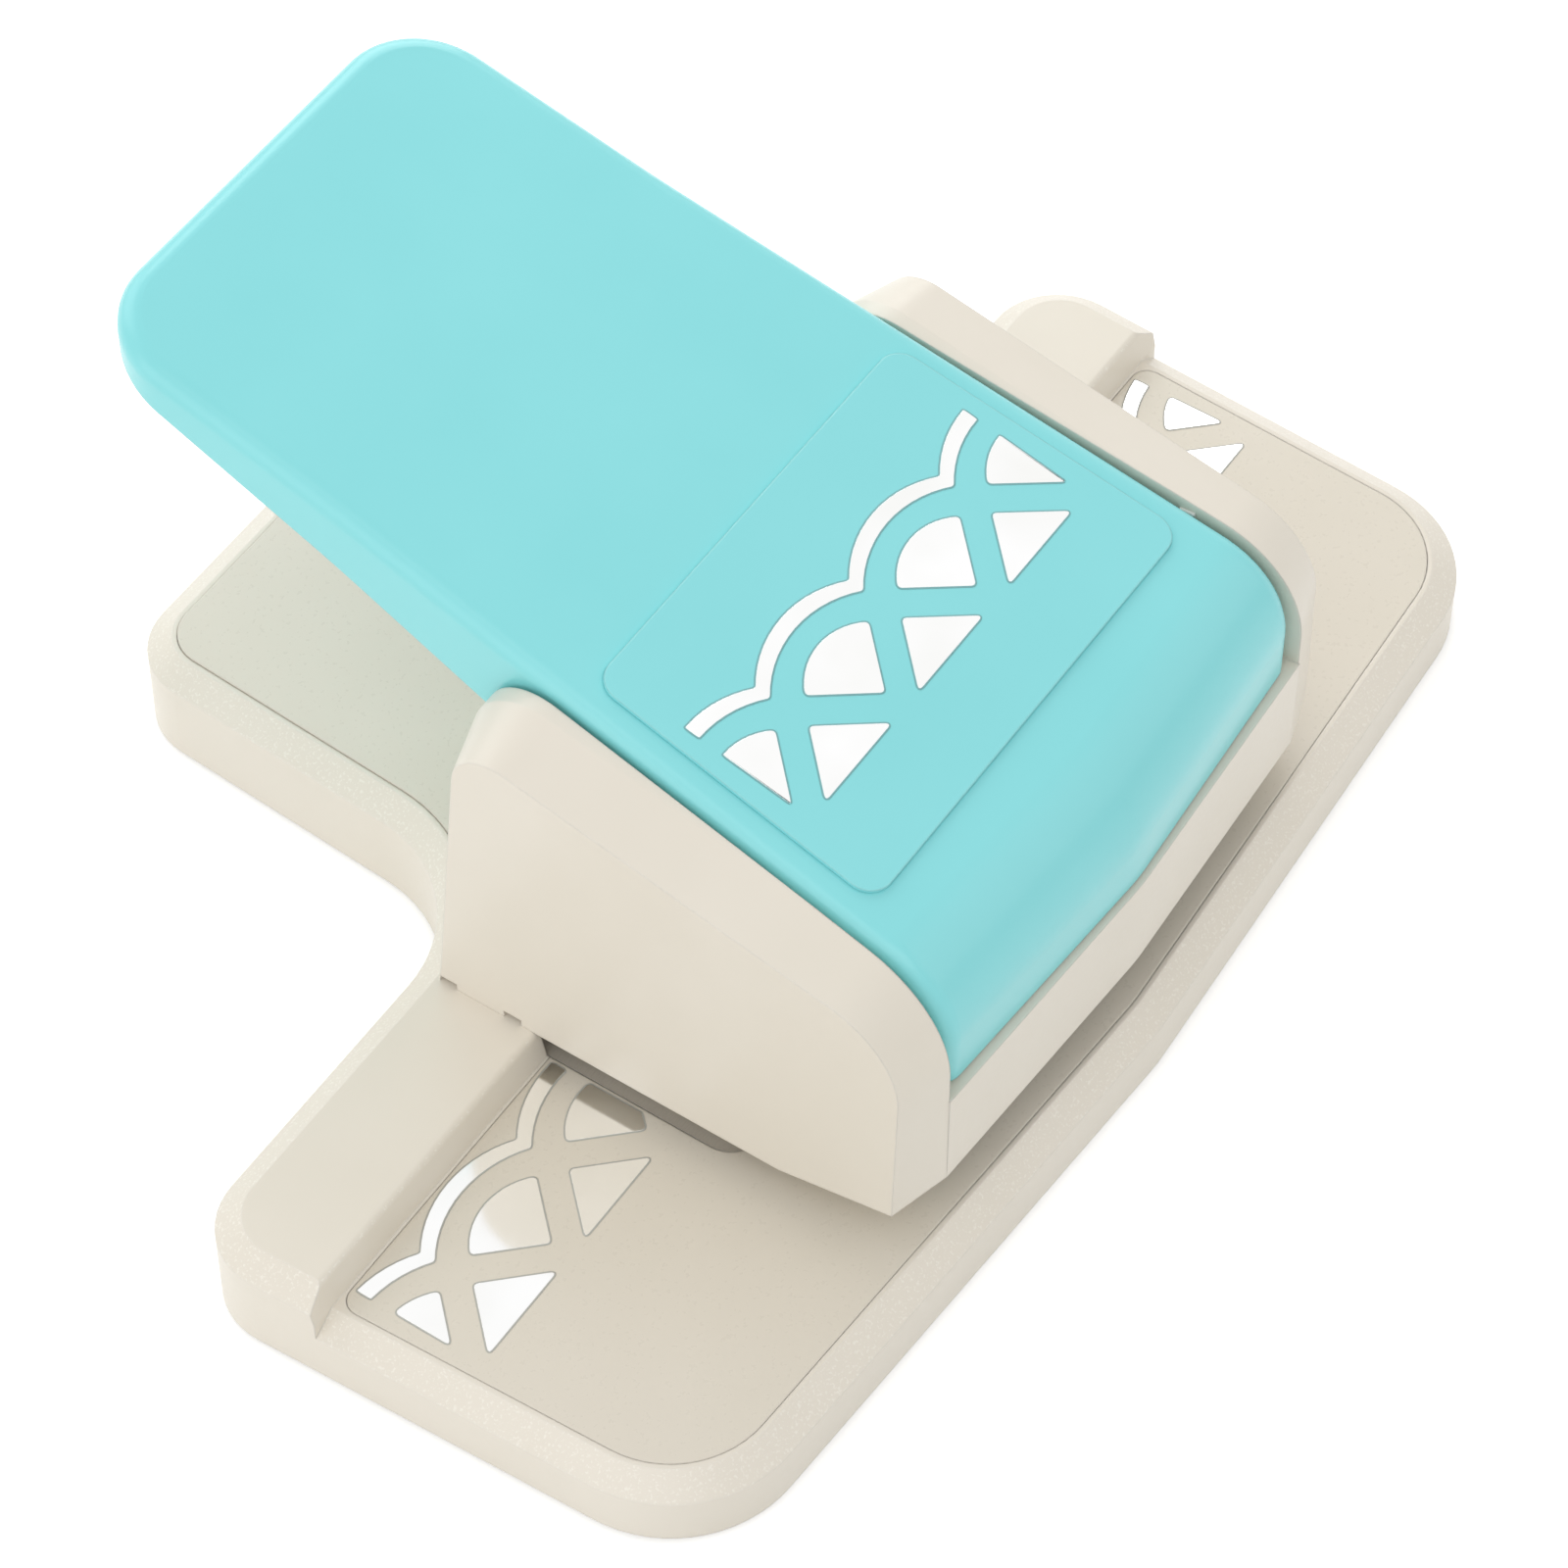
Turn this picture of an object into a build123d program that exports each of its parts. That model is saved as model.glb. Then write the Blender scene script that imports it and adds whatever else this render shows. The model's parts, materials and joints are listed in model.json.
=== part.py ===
from build123d import *
import math
import os

# A lever-operated craft border punch.  Millimetres, +Z up, +X to the right, +Y to the rear.
# The origin is on the surface that the tool stands on, at the middle of its outline.
# Distances marked "from the cusp line" are measured from the line that the border's cusps lie on.

# ------------------------------------------------------------------ pattern that is punched
PITCH = 17.0              # repeat of the border pattern
REPEATS = 3               # repeats that one stroke cuts
SCALLOP_RISE = 2.75       # height of a scallop above its two cusps
BAND = 1.75               # width of the scalloped band
FAN_HALF = 5.8            # half width of a fan across its corners
FAN_CORNER = 4.3          # from the cusp line forward to a fan's corners
FAN_APEX = 10.3           # from the cusp line forward to a fan's apex
TRI_HALF = 6.0            # half width of a triangle's base
TRI_APEX = 6.65           # from the cusp line forward to a triangle's apex
TRI_BASE = 12.85          # from the cusp line forward to a triangle's base
CELL_CORNER = 0.4         # corner radius of the fans and triangles
CUT_CLEAR = 0.15          # gap between a cutter and its opening

# ------------------------------------------------------------------ base
BASE_DEPTH = 120.4        # front point of the chevron to the rear of the tail
WING_WIDTH = 164.0        # across the wings at their rear
WING_TAPER = 2.9          # each wing's side closes in by this towards the front
WING_DEPTH = 67.5         # front point of the chevron to the wings' rear edge
CHEVRON = 4.0             # the front edge falls back by this from its middle to its corners
CHEVRON_ROUND = 26.0
FRONT_CORNER = 15.0
WING_REAR_CORNER = 8.5
TAIL_WIDTH = 54.6         # across the tail where it leaves the wings
TAIL_REAR_WIDTH = 48.6
TAIL_CORNER = 8.5
TAIL_ROOT = 16.0          # concave radius between the wings and the tail
FOOT_PROUD = 0.6          # the rubber feet stand below the base by this
BASE_HEIGHT = 8.6         # underside to deck
BASE_WALL = 2.4
BASE_SKIN = 2.4           # floor left under the inlaid plates
RIM_DROP = 2.2            # height of the sloping rim
RIM_RUN = 2.9             # width of the sloping rim
FENCE_HEIGHT = 4.0        # the paper fence and the tail stand above the deck by this
FENCE_LEAN = 0.9          # the fence's face leans back by this
FENCE_ROUND = 0.8
FENCE_MARGIN = 3.7        # from the cusp line back to the fence's foot
CUSP_SETBACK = 47.2       # front point of the base back to the cusp line
SEAM_INSET = 3.5          # outline of the base in to the inlaid plates
DECK_REAR_GAP = 0.4       # deck plate to the fence's foot
DECK_REAR_CORNER = 2.0
PLATE = 1.6               # thickness of the inlaid deck and tail plates
TAIL_PLATE_WIDTH = 62.0   # the tail plate's flared front is cut to this width
TAIL_PLATE_PROUD = 0.2
SEAM = 0.06               # gap round the inlaid plates
COVER = 2.0               # thickness of the bottom cover
COVER_LIP = 1.2           # wall left round the bottom cover
COVER_GAP = 0.2
FOOT_R = 4.5
FOOT_THICK = 1.6
SCREW_R = 1.1
SCREW_HEAD_R = 2.3
SCREW_HEAD = 1.2
HEAD_GAP = 0.1            # gap round a sunk screw head
BOSS_R = 3.2
HOUSING_SCREW_BITE = 6.0  # screw length inside the housing's foot

# ------------------------------------------------------------------ die set
WELL_WIDTH = 81.0         # opening in the deck that the die plate lies in
WELL_FRONT = 21.0         # from the cusp line forward to the well's front edge
WELL_REAR = 10.6          # from the cusp line back to the well's rear edge
WELL_CORNER = 4.0
WELL_GAP = 0.3
DIE_SUNK = 0.4            # the die plate lies this far below the deck
DIE_PLATE = 3.0
SLOT = 2.5                # height of the slot that the paper goes into
GUIDE_PLATE = 2.0
GUIDE_WIDTH = 62.0
CHUTE_MARGIN = 1.4        # the chip chute is larger than the pattern by this, each side
POST_R = 2.5
POST_X = 20.0
POST_REAR = 7.7           # from the cusp line back to the rear posts
POST_FRONT = 18.0         # from the cusp line forward to the front posts
POST_GAP = 0.08           # radial clearance of the plunger on its posts
POST_ABOVE = 2.5          # posts stand above the plunger by this
POST_GROOVE = 0.5         # depth of the grooves that the clips snap into
CLIP_R = 3.4
CLIP = 0.8
CLIP_GAP = 0.1
GUIDE_SCREW_X = (12.0, 27.2)
GUIDE_SCREW_HEAD = 1.8
DIE_SCREW_X = 34.6
DIE_SCREW_SETBACK = 7.0   # well's front edge back to the front die screws

# ------------------------------------------------------------------ punch and plunger
STROKE_ANGLE = 11.1       # degrees that the lever turns through
TIP_LIFT = 0.9            # the cutters rest this far above the paper slot
HEAD_LIFT = 5.8           # the punch head rests this far above the guide plate
HEAD = 4.9                # thickness of the punch head's back plate
HEAD_MARGIN = 0.9
PLUNGER = 8.0             # thickness of the plunger
PLUNGER_WIDTH = 54.0
PLUNGER_EDGE = 1.6        # plunger left beyond the bores, front and rear
SPRING_R = 3.2            # mean radius of a return spring's coil
SPRING_WIRE_R = 0.4
SPRING_TURNS = 5
PUNCH_SCREW_X = 22.0
PUNCH_SCREW_SPREAD = 8.0
WEAR_PLATE = 1.9
WEAR_WIDTH = 34.0
WEAR_DEPTH = 12.0
ROLLER_R = 4.0
ROLLER_WIDTH = 30.0
ROLLER_PIN_R = 2.0
ROLLER_GAP = 0.3          # roller to wear plate
PIN_GAP = 0.05            # radial clearance of parts that turn on a pin

# ------------------------------------------------------------------ housing
HOUSING_WIDTH = 82.4      # across the cheeks' feet
HOUSING_DRAFT = 1.8       # degrees that the cheeks lean in
HOUSING_SETBACK = 5.2     # front point of the base back to the cheeks' front
HOUSING_SEAT = 15.4       # the fence's foot back to the housing's rear
HOUSING_LEAN = 3.1        # the rear leans forward by this over the cheeks' height
CHEEK_HEIGHT = 43.8       # fence top to the corner where the cheeks' top meets their rear
CHEEK_SLOPE = 12.1        # degrees that the cheeks' top slopes down to the front
CHEEK_REAR_ROUND = 7.5
CHEEK_NOSE_ROUND = 13.0
CHEEK_BEVEL = 7.0         # width of the bevel along the cheeks' outer edge
CHEEK_BEVEL_DROP = 2.2
MOUTH_FLARE = 3.3         # the cheeks' lower edge rises by this at the front
MOUTH_RUN = 16.0          # length of that rise
FRONT_WALL = 2.4
FRONT_WALL_LAP = 2.0      # the front wall runs into the cheeks by this, each side
FRONT_WALL_TOP = 20.6     # above the deck
FRONT_CHEVRON = 1.6       # the front wall's middle stands forward of the cheeks by this
REAR_WALL = 2.2
REAR_WALL_TOP = 25.6      # above the deck
HOUSING_FOOT = 8.0        # height of the thick foot of the rear wall
FOOT_GAP = 0.5            # plunger to that foot
POCKET_WIDTH = 2.6
POCKET_SKIN = 2.2         # cheek's outer wall beside its pocket
POCKET_HEIGHT = 23.0
SEAT_NOTCH = 2.2          # length of the two notches under each cheek
SEAT_NOTCH_HEIGHT = 0.9
SEAT_NOTCH_PITCH = 8.3

# ------------------------------------------------------------------ lever
LEVER_TILT = 14.1         # degrees, at rest
LEVER_FRONT_WIDTH = 66.8
LEVER_WAIST_WIDTH = 57.4
LEVER_REAR_WIDTH = 55.6
LEVER_WAIST = 79.0        # cheeks' front to the place where the sides turn parallel
LEVER_WAIST_ROUND = 200.0
LEVER_LENGTH = 111.0      # cheeks' front to the lever's tip
LEVER_CORNER = 10.0
LEVER_EDGE = 2.2          # rounding of the lever's top edge
LEVER_NOSE = 11.0
LEVER_CHEVRON = 1.0       # the nose's middle stands forward of the cheeks by this
NOSE_BACK = 1.0           # the nose's corners lie behind the cheeks' front by this
LEVER_WALL = 2.2
LEVER_GAP = 0.7           # lever to cheek, each side
LEVER_RISE = 10.45        # lever's top above the hinge axis
NOSE_GAP = 0.5            # front wall to the lever's nose
SKIRT_KNEE = 15.0         # nose back to the point where the skirt's lower edge starts to rise
SKIRT_SLOPE = 21.1        # degrees of the skirt's lower edge behind that point
RIB = 1.6
RIB_DEPTH = 3.5
RIB_SPOTS = (62.0, 80.0, 98.0)      # hinge axis back to the cross ribs, along the slope
LABEL_AHEAD = 6.9         # from the cusp line forward to the label's own cusp line
LABEL_REAR_WIDTH = 54.8
LABEL_FRONT_WIDTH = 58.2
LABEL_FRONT = 23.0        # label's cusp line forward to its front edge, along the slope
LABEL_REAR = 13.0         # label's cusp line back to its rear edge, along the slope
LABEL_CORNER = 2.8
LABEL_SUNK = 0.9
LABEL_PROUD = 0.4
HINGE_R = 2.5
HINGE_SETBACK = 8.5       # cheeks' front back to the hinge axis
HINGE_HEIGHT = 27.0       # above the deck
HINGE_HOLD = 2.0          # depth of the pin's seats in the cheeks
FRAME_WIDTH = 52.0
FRAME_SHEET = 2.0
FRAME_DROP = 6.6          # lever's top down to the frame's top, square to the slope
FRAME_FRONT = 6.0         # hinge axis back to the frame's top sheet, along the slope
FRAME_REAR = 42.0         # hinge axis back to the frame's end, along the slope
FRAME_EYE = 4.6           # radius of the frame's eyes round the hinge pin
FRAME_CLEAR = 2.8         # frame above the plunger
FRAME_REAR_CLEAR = 5.0    # frame's rear end above the plunger
FRAME_SCREW_X = 11.0
FRAME_SCREW_SPOTS = (11.0, 38.0)    # hinge axis back to the screws, along the slope
PAD_THICK = 1.4
PAD_PROUD = 0.3
PAD_LENGTH = 1.8
PAD_HEIGHT = 9.0
PAD_SETBACK = 14.5        # cheeks' front back to the middle of the side pads
PAD_BELOW_TOP = 1.4
PIN_CHAMFER = 0.4

# ------------------------------------------------------------------ places worked out from these
base_z = FOOT_PROUD
deck_z = base_z + BASE_HEIGHT
fence_z = deck_z + FENCE_HEIGHT
cover_top = base_z + COVER
front_y = -BASE_DEPTH / 2
cusp_y = front_y + CUSP_SETBACK
fence_y = cusp_y + FENCE_MARGIN
wing_rear_y = front_y + WING_DEPTH
low_ceiling = deck_z - PLATE - BASE_SKIN
high_ceiling = fence_z - PLATE - BASE_SKIN

die_top = deck_z - DIE_SUNK
die_z = die_top - DIE_PLATE
guide_z = die_top + SLOT
guide_top = guide_z + GUIDE_PLATE
well_front = cusp_y - WELL_FRONT
well_rear = cusp_y + WELL_REAR
well_mid = (well_front + well_rear) / 2
pattern_width = REPEATS * PITCH
pattern_depth = SCALLOP_RISE + TRI_BASE
pattern_mid = cusp_y + (SCALLOP_RISE - TRI_BASE) / 2
post_spots = [(side * POST_X, cusp_y + dy) for side in (-1, 1) for dy in (POST_REAR, -POST_FRONT)]
guide_screw_y = cusp_y + POST_REAR - 0.7
guide_screw_spots = [(side * x, guide_screw_y) for side in (-1, 1) for x in GUIDE_SCREW_X]
die_screw_spots = [(side * DIE_SCREW_X, well_front + DIE_SCREW_SETBACK) for side in (-1, 1)]

tip_z = guide_z + TIP_LIFT
head_z = guide_top + HEAD_LIFT
plunger_z = head_z + HEAD
plunger_top = plunger_z + PLUNGER
wear_top = plunger_top + WEAR_PLATE
clip_z = plunger_top + CLIP_GAP
roller_z = wear_top + ROLLER_GAP + ROLLER_R
roller_y = pattern_mid
plunger_front = cusp_y - POST_FRONT - POST_R - PLUNGER_EDGE
plunger_rear = cusp_y + POST_REAR + POST_R + PLUNGER_EDGE

cheek_front = front_y + HOUSING_SETBACK
cheek_rear = fence_y + HOUSING_SEAT
cheek_length = cheek_rear - cheek_front
cheek_top = fence_z + CHEEK_HEIGHT
cheek_front_top = cheek_top - (cheek_length - HOUSING_LEAN) * math.tan(math.radians(CHEEK_SLOPE))
foot_front = plunger_rear + FOOT_GAP
foot_mid = (foot_front + cheek_rear) / 2
housing_screw_spots = [(x, foot_mid) for x in (-28.0, -10.0, 10.0, 28.0)]
hinge_y = cheek_front + HINGE_SETBACK
hinge_z = deck_z + HINGE_HEIGHT

tilt = math.radians(LEVER_TILT)
lever_tip = cheek_front + LEVER_LENGTH
skirt_z = deck_z + FRONT_WALL_TOP + NOSE_GAP
lever_plane = Plane(
    origin=(0, hinge_y, hinge_z + LEVER_RISE),
    x_dir=(1, 0, 0),
    z_dir=(0, -math.sin(tilt), math.cos(tilt)),
)
label_mid = (cusp_y - LABEL_AHEAD - hinge_y) / math.cos(tilt)
frame_screw_spots = [(side * FRAME_SCREW_X, v) for side in (-1, 1) for v in FRAME_SCREW_SPOTS]

cover_screw_places = ((62.0, front_y + 16.0), (72.0, -2.0), (14.0, 48.0))
foot_places = ((71.0, front_y + 14.0), (62.0, -3.0), (16.5, 38.0))
cover_screw_spots = [(side * x, y) for side in (-1, 1) for x, y in cover_screw_places]
foot_spots = [(side * x, y) for side in (-1, 1) for x, y in foot_places]


def lever_top_z(y):
    """Height of the lever's flat top at y."""
    return hinge_z + LEVER_RISE + (y - hinge_y) * math.tan(tilt)


def lever_half(y, gap=0.0):
    """Half width of the lever at y, with a gap beside it."""
    behind_waist = y - cheek_front - LEVER_WAIST
    front_taper = (LEVER_FRONT_WIDTH - LEVER_WAIST_WIDTH) / LEVER_WAIST
    rear_taper = (LEVER_WAIST_WIDTH - LEVER_REAR_WIDTH) / (LEVER_LENGTH - LEVER_WAIST)
    width = LEVER_WAIST_WIDTH - behind_waist * (front_taper if behind_waist < 0 else rear_taper)
    return width / 2 + gap


def both_sides(right):
    """Corners of a closed outline from those of its right half, the first one on the middle line."""
    left = [((-x, y), r) for (x, y), r in reversed(right) if x]
    corners = right + left
    return [p for p, r in corners], [r for p, r in corners]


def beside_lever(y, near, far):
    """Corners of a small pad beside the lever at y, as its distances from the lever's side."""
    ends = (y - PAD_LENGTH / 2, y + PAD_LENGTH / 2)
    return [(lever_half(ends[0], near), ends[0]), (lever_half(ends[0], far), ends[0]),
            (lever_half(ends[1], far), ends[1]), (lever_half(ends[1], near), ends[1])]


nose_y = cheek_front - LEVER_CHEVRON
lever_tip_z = lever_top_z(lever_tip)
pin_half = lever_half(hinge_y, LEVER_GAP + HINGE_HOLD)
pad_y = cheek_front + PAD_SETBACK
pad_top = cheek_front_top + (pad_y - cheek_front) * math.tan(math.radians(CHEEK_SLOPE)) - PAD_BELOW_TOP

# ------------------------------------------------------------------ shared outlines
with BuildSketch() as outline:
    with BuildLine():
        points, radii = both_sides([
            ((0, front_y), CHEVRON_ROUND),
            ((WING_WIDTH / 2 - WING_TAPER, front_y + CHEVRON), FRONT_CORNER),
            ((WING_WIDTH / 2, wing_rear_y), WING_REAR_CORNER),
            ((TAIL_WIDTH / 2, wing_rear_y), TAIL_ROOT),
            ((TAIL_REAR_WIDTH / 2, front_y + BASE_DEPTH), TAIL_CORNER),
        ])
        FilletPolyline(*points, radius=radii, close=True)
    make_face()

with BuildSketch() as inlay:
    add(outline.sketch)
    offset(amount=-SEAM_INSET, mode=Mode.REPLACE)

with BuildSketch() as well:
    with Locations((0, well_mid)):
        RectangleRounded(WELL_WIDTH, well_rear - well_front, WELL_CORNER)

with BuildSketch() as deck_shape:
    add(inlay.sketch)
    with Locations((0, front_y)):
        Rectangle(WING_WIDTH, 2 * (fence_y - DECK_REAR_GAP - front_y), mode=Mode.INTERSECT)
    fillet(deck_shape.vertices().group_by(Axis.Y)[-1], DECK_REAR_CORNER)

with BuildSketch() as tail_shape:
    add(inlay.sketch)
    with Locations((0, cheek_rear + SEAM)):
        Rectangle(TAIL_PLATE_WIDTH, BASE_DEPTH, align=(Align.CENTER, Align.MIN), mode=Mode.INTERSECT)

with BuildSketch() as pattern:
    for column in range(REPEATS + 1):
        mid = (column - REPEATS / 2) * PITCH
        with BuildLine():
            fan_top = cusp_y - FAN_APEX + math.hypot(FAN_HALF, FAN_APEX - FAN_CORNER)
            corner_y = cusp_y - FAN_CORNER
            fan_arc = ThreePointArc((mid - FAN_HALF, corner_y), (mid, fan_top), (mid + FAN_HALF, corner_y))
            Polyline(fan_arc @ 1, (mid, cusp_y - FAN_APEX), fan_arc @ 0)
        make_face()
    for column in range(REPEATS):
        mid = (column - (REPEATS - 1) / 2) * PITCH
        with BuildLine():
            base_line = cusp_y - TRI_BASE
            tri_corners = [(mid - TRI_HALF, base_line), (mid + TRI_HALF, base_line), (mid, cusp_y - TRI_APEX)]
            Polyline(*tri_corners, close=True)
        make_face()
    fillet(pattern.vertices(), CELL_CORNER)
    for column in range(REPEATS + 1):
        mid = (column - REPEATS / 2) * PITCH
        with BuildLine():
            crest = cusp_y + SCALLOP_RISE
            rear_arc = ThreePointArc((mid - PITCH / 2, cusp_y), (mid, crest), (mid + PITCH / 2, cusp_y))
            front_arc = ThreePointArc(
                (mid - PITCH / 2, cusp_y - BAND), (mid, crest - BAND), (mid + PITCH / 2, cusp_y - BAND)
            )
            Line(rear_arc @ 0, front_arc @ 0)
            Line(rear_arc @ 1, front_arc @ 1)
        make_face()
    with Locations((0, pattern_mid)):
        Rectangle(pattern_width, 2 * pattern_depth, mode=Mode.INTERSECT)

with BuildSketch() as housing_plan:
    with BuildLine():
        points, radii = both_sides([
            ((0, cheek_front - FRONT_CHEVRON), CHEVRON_ROUND),
            ((HOUSING_WIDTH / 2 - CHEEK_BEVEL, cheek_front), 0),
            ((HOUSING_WIDTH / 2, cheek_front + CHEEK_BEVEL_DROP), 0),
            ((HOUSING_WIDTH / 2, cheek_rear), 0),
        ])
        FilletPolyline(*points, radius=radii, close=True)
    make_face()

with BuildSketch() as lever_plan:
    with BuildLine():
        points, radii = both_sides([
            ((0, nose_y), CHEVRON_ROUND),
            ((lever_half(cheek_front), cheek_front + NOSE_BACK), 0),
            ((LEVER_WAIST_WIDTH / 2, cheek_front + LEVER_WAIST), LEVER_WAIST_ROUND),
            ((LEVER_REAR_WIDTH / 2, lever_tip), LEVER_CORNER),
        ])
        FilletPolyline(*points, radius=radii, close=True)
    make_face()

with BuildSketch() as label_shape:
    with BuildLine():
        points = [
            (-LABEL_FRONT_WIDTH / 2, label_mid - LABEL_FRONT),
            (LABEL_FRONT_WIDTH / 2, label_mid - LABEL_FRONT),
            (LABEL_REAR_WIDTH / 2, label_mid + LABEL_REAR),
            (-LABEL_REAR_WIDTH / 2, label_mid + LABEL_REAR),
        ]
        FilletPolyline(*points, radius=LABEL_CORNER, close=True)
    make_face()

with BuildSketch() as pad_shape:
    pad_corners = beside_lever(pad_y, LEVER_GAP - PAD_PROUD, LEVER_GAP - PAD_PROUD + PAD_THICK)
    with BuildLine():
        Polyline(*pad_corners, close=True)
    make_face()
    mirror(about=Plane.YZ)

# ------------------------------------------------------------------ base
with BuildPart() as low_block:
    with BuildSketch(Plane.XY.offset(base_z)):
        add(outline.sketch)
    extrude(amount=BASE_HEIGHT)
    rim = low_block.faces().sort_by(Axis.Z)[-1]
    chamfer(rim.edges(), RIM_RUN, RIM_DROP, reference=rim)

with BuildPart() as base_shell:
    with BuildSketch(Plane.XY.offset(base_z)):
        add(outline.sketch)
    extrude(amount=BASE_HEIGHT + FENCE_HEIGHT)
    rim = base_shell.faces().sort_by(Axis.Z)[-1]
    chamfer(rim.edges(), RIM_RUN, RIM_DROP, reference=rim)
    with BuildSketch(Plane.YZ):
        with BuildLine():
            Polyline(
                (fence_y, 0),
                (fence_y, deck_z),
                (fence_y + FENCE_LEAN, fence_z),
                (fence_y + FENCE_LEAN, fence_z + 1),
                (fence_y + BASE_DEPTH, fence_z + 1),
                (fence_y + BASE_DEPTH, 0),
                close=True,
            )
        make_face()
    extrude(amount=WING_WIDTH, both=True, mode=Mode.INTERSECT)
    add(low_block.part)
    fillet(base_shell.edges().filter_by(Axis.X).group_by(Axis.Z)[-1].sort_by(Axis.Y)[0], FENCE_ROUND)
    # hollow underneath, with a thick seat left below the die and the housing
    with BuildSketch(Plane.XY.offset(base_z)) as hollow:
        add(outline.sketch)
        offset(amount=-BASE_WALL, mode=Mode.REPLACE)
        with Locations((0, well_front - BASE_WALL)):
            seat_depth = cheek_rear - well_front + 2 * BASE_WALL
            seat_width = HOUSING_WIDTH + BASE_WALL
            Rectangle(seat_width, seat_depth, align=(Align.CENTER, Align.MIN), mode=Mode.SUBTRACT)
    extrude(amount=low_ceiling - base_z, mode=Mode.SUBTRACT)
    with BuildSketch(Plane.XY.offset(base_z)):
        add(hollow.sketch.moved(Location((0, 0, -base_z))))
        with Locations((0, fence_y + BASE_WALL)):
            Rectangle(WING_WIDTH, BASE_DEPTH, align=(Align.CENTER, Align.MIN), mode=Mode.INTERSECT)
    extrude(amount=high_ceiling - base_z, mode=Mode.SUBTRACT)
    # rebate for the bottom cover
    with BuildSketch(Plane.XY.offset(base_z)):
        add(outline.sketch)
        offset(amount=-COVER_LIP, mode=Mode.REPLACE)
    extrude(amount=COVER, mode=Mode.SUBTRACT)
    # bosses for the cover screws
    with BuildSketch(Plane.XY.offset(cover_top)):
        with Locations(cover_screw_spots):
            Circle(BOSS_R)
            Circle(SCREW_R, mode=Mode.SUBTRACT)
    extrude(until=Until.NEXT)
    # recesses for the two inlaid plates
    with BuildSketch(Plane.XY.offset(deck_z - PLATE)):
        add(deck_shape.sketch)
        offset(amount=SEAM, mode=Mode.REPLACE)
    extrude(amount=PLATE, mode=Mode.SUBTRACT)
    with BuildSketch(Plane.XY.offset(fence_z - PLATE)):
        add(tail_shape.sketch)
        offset(amount=SEAM, mode=Mode.REPLACE)
    extrude(amount=PLATE, mode=Mode.SUBTRACT)
    # well for the die set, and the chip chute below it
    with BuildSketch(Plane.XY.offset(die_z)):
        add(well.sketch)
    extrude(amount=fence_z - die_z, mode=Mode.SUBTRACT)
    with BuildSketch(Plane.XY.offset(base_z)):
        with Locations((0, pattern_mid)):
            Rectangle(pattern_width + 2 * CHUTE_MARGIN, pattern_depth + 2 * CHUTE_MARGIN)
    extrude(amount=BASE_HEIGHT, mode=Mode.SUBTRACT)
    # screw holes
    with BuildSketch(Plane.XY.offset(cover_top)):
        with Locations(guide_screw_spots + die_screw_spots + housing_screw_spots):
            Circle(SCREW_R)
    extrude(amount=fence_z - cover_top, mode=Mode.SUBTRACT)
    with BuildSketch(Plane.XY.offset(cover_top)):
        with Locations(housing_screw_spots):
            Circle(SCREW_HEAD_R + HEAD_GAP)
    extrude(amount=SCREW_HEAD, mode=Mode.SUBTRACT)

with BuildPart() as bottom_cover:
    with BuildSketch(Plane.XY.offset(base_z)):
        add(outline.sketch)
        offset(amount=-COVER_LIP - COVER_GAP, mode=Mode.REPLACE)
        with Locations((0, pattern_mid)):
            Rectangle(
                pattern_width + 2 * CHUTE_MARGIN, pattern_depth + 2 * CHUTE_MARGIN, mode=Mode.SUBTRACT
            )
        with Locations(cover_screw_spots):
            Circle(SCREW_R, mode=Mode.SUBTRACT)
    extrude(amount=COVER)
    with BuildSketch(Plane.XY.offset(base_z)):
        with Locations(foot_spots):
            Circle(FOOT_R)
    extrude(amount=FOOT_THICK - FOOT_PROUD, mode=Mode.SUBTRACT)
    with BuildSketch(Plane.XY.offset(base_z)):
        with Locations(cover_screw_spots):
            Circle(SCREW_HEAD_R + HEAD_GAP)
    extrude(amount=SCREW_HEAD, mode=Mode.SUBTRACT)

with BuildPart() as rubber_feet:
    with BuildSketch():
        with Locations(foot_spots):
            Circle(FOOT_R)
    extrude(amount=FOOT_THICK)
    chamfer(rubber_feet.faces().group_by(Axis.Z)[0].edges(), FOOT_PROUD / 2)

with BuildPart() as deck_plate:
    with BuildSketch(Plane.XY.offset(deck_z - PLATE)):
        add(deck_shape.sketch)
        with Locations((0, well_mid + WELL_CORNER)):
            depth = well_rear - well_front + 2 * WELL_CORNER
            RectangleRounded(WELL_WIDTH, depth, WELL_CORNER, mode=Mode.SUBTRACT)
    extrude(amount=PLATE)

with BuildPart() as tail_plate:
    with BuildSketch(Plane.XY.offset(fence_z - PLATE)):
        add(tail_shape.sketch)
    extrude(amount=PLATE + TAIL_PLATE_PROUD)

# ------------------------------------------------------------------ die set
with BuildPart() as die_plate:
    with BuildSketch(Plane.XY.offset(die_z)):
        add(well.sketch)
        offset(amount=-WELL_GAP, mode=Mode.REPLACE)
        add(pattern.sketch, mode=Mode.SUBTRACT)
        with Locations(guide_screw_spots + die_screw_spots):
            Circle(SCREW_R, mode=Mode.SUBTRACT)
    extrude(amount=DIE_PLATE)
    with BuildSketch(Plane.XY.offset(die_top)):
        with Locations(die_screw_spots):
            Circle(SCREW_HEAD_R + HEAD_GAP)
    extrude(amount=-SCREW_HEAD, mode=Mode.SUBTRACT)

with BuildPart() as fence_bar:
    with BuildSketch(Plane.XY.offset(die_top)):
        with Locations((0, fence_y)):
            bar_depth = well_rear - WELL_GAP - fence_y
            Rectangle(WELL_WIDTH - 2 * WELL_CORNER, bar_depth, align=(Align.CENTER, Align.MIN))
        with Locations(guide_screw_spots):
            Circle(SCREW_R, mode=Mode.SUBTRACT)
    extrude(amount=SLOT)

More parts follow.
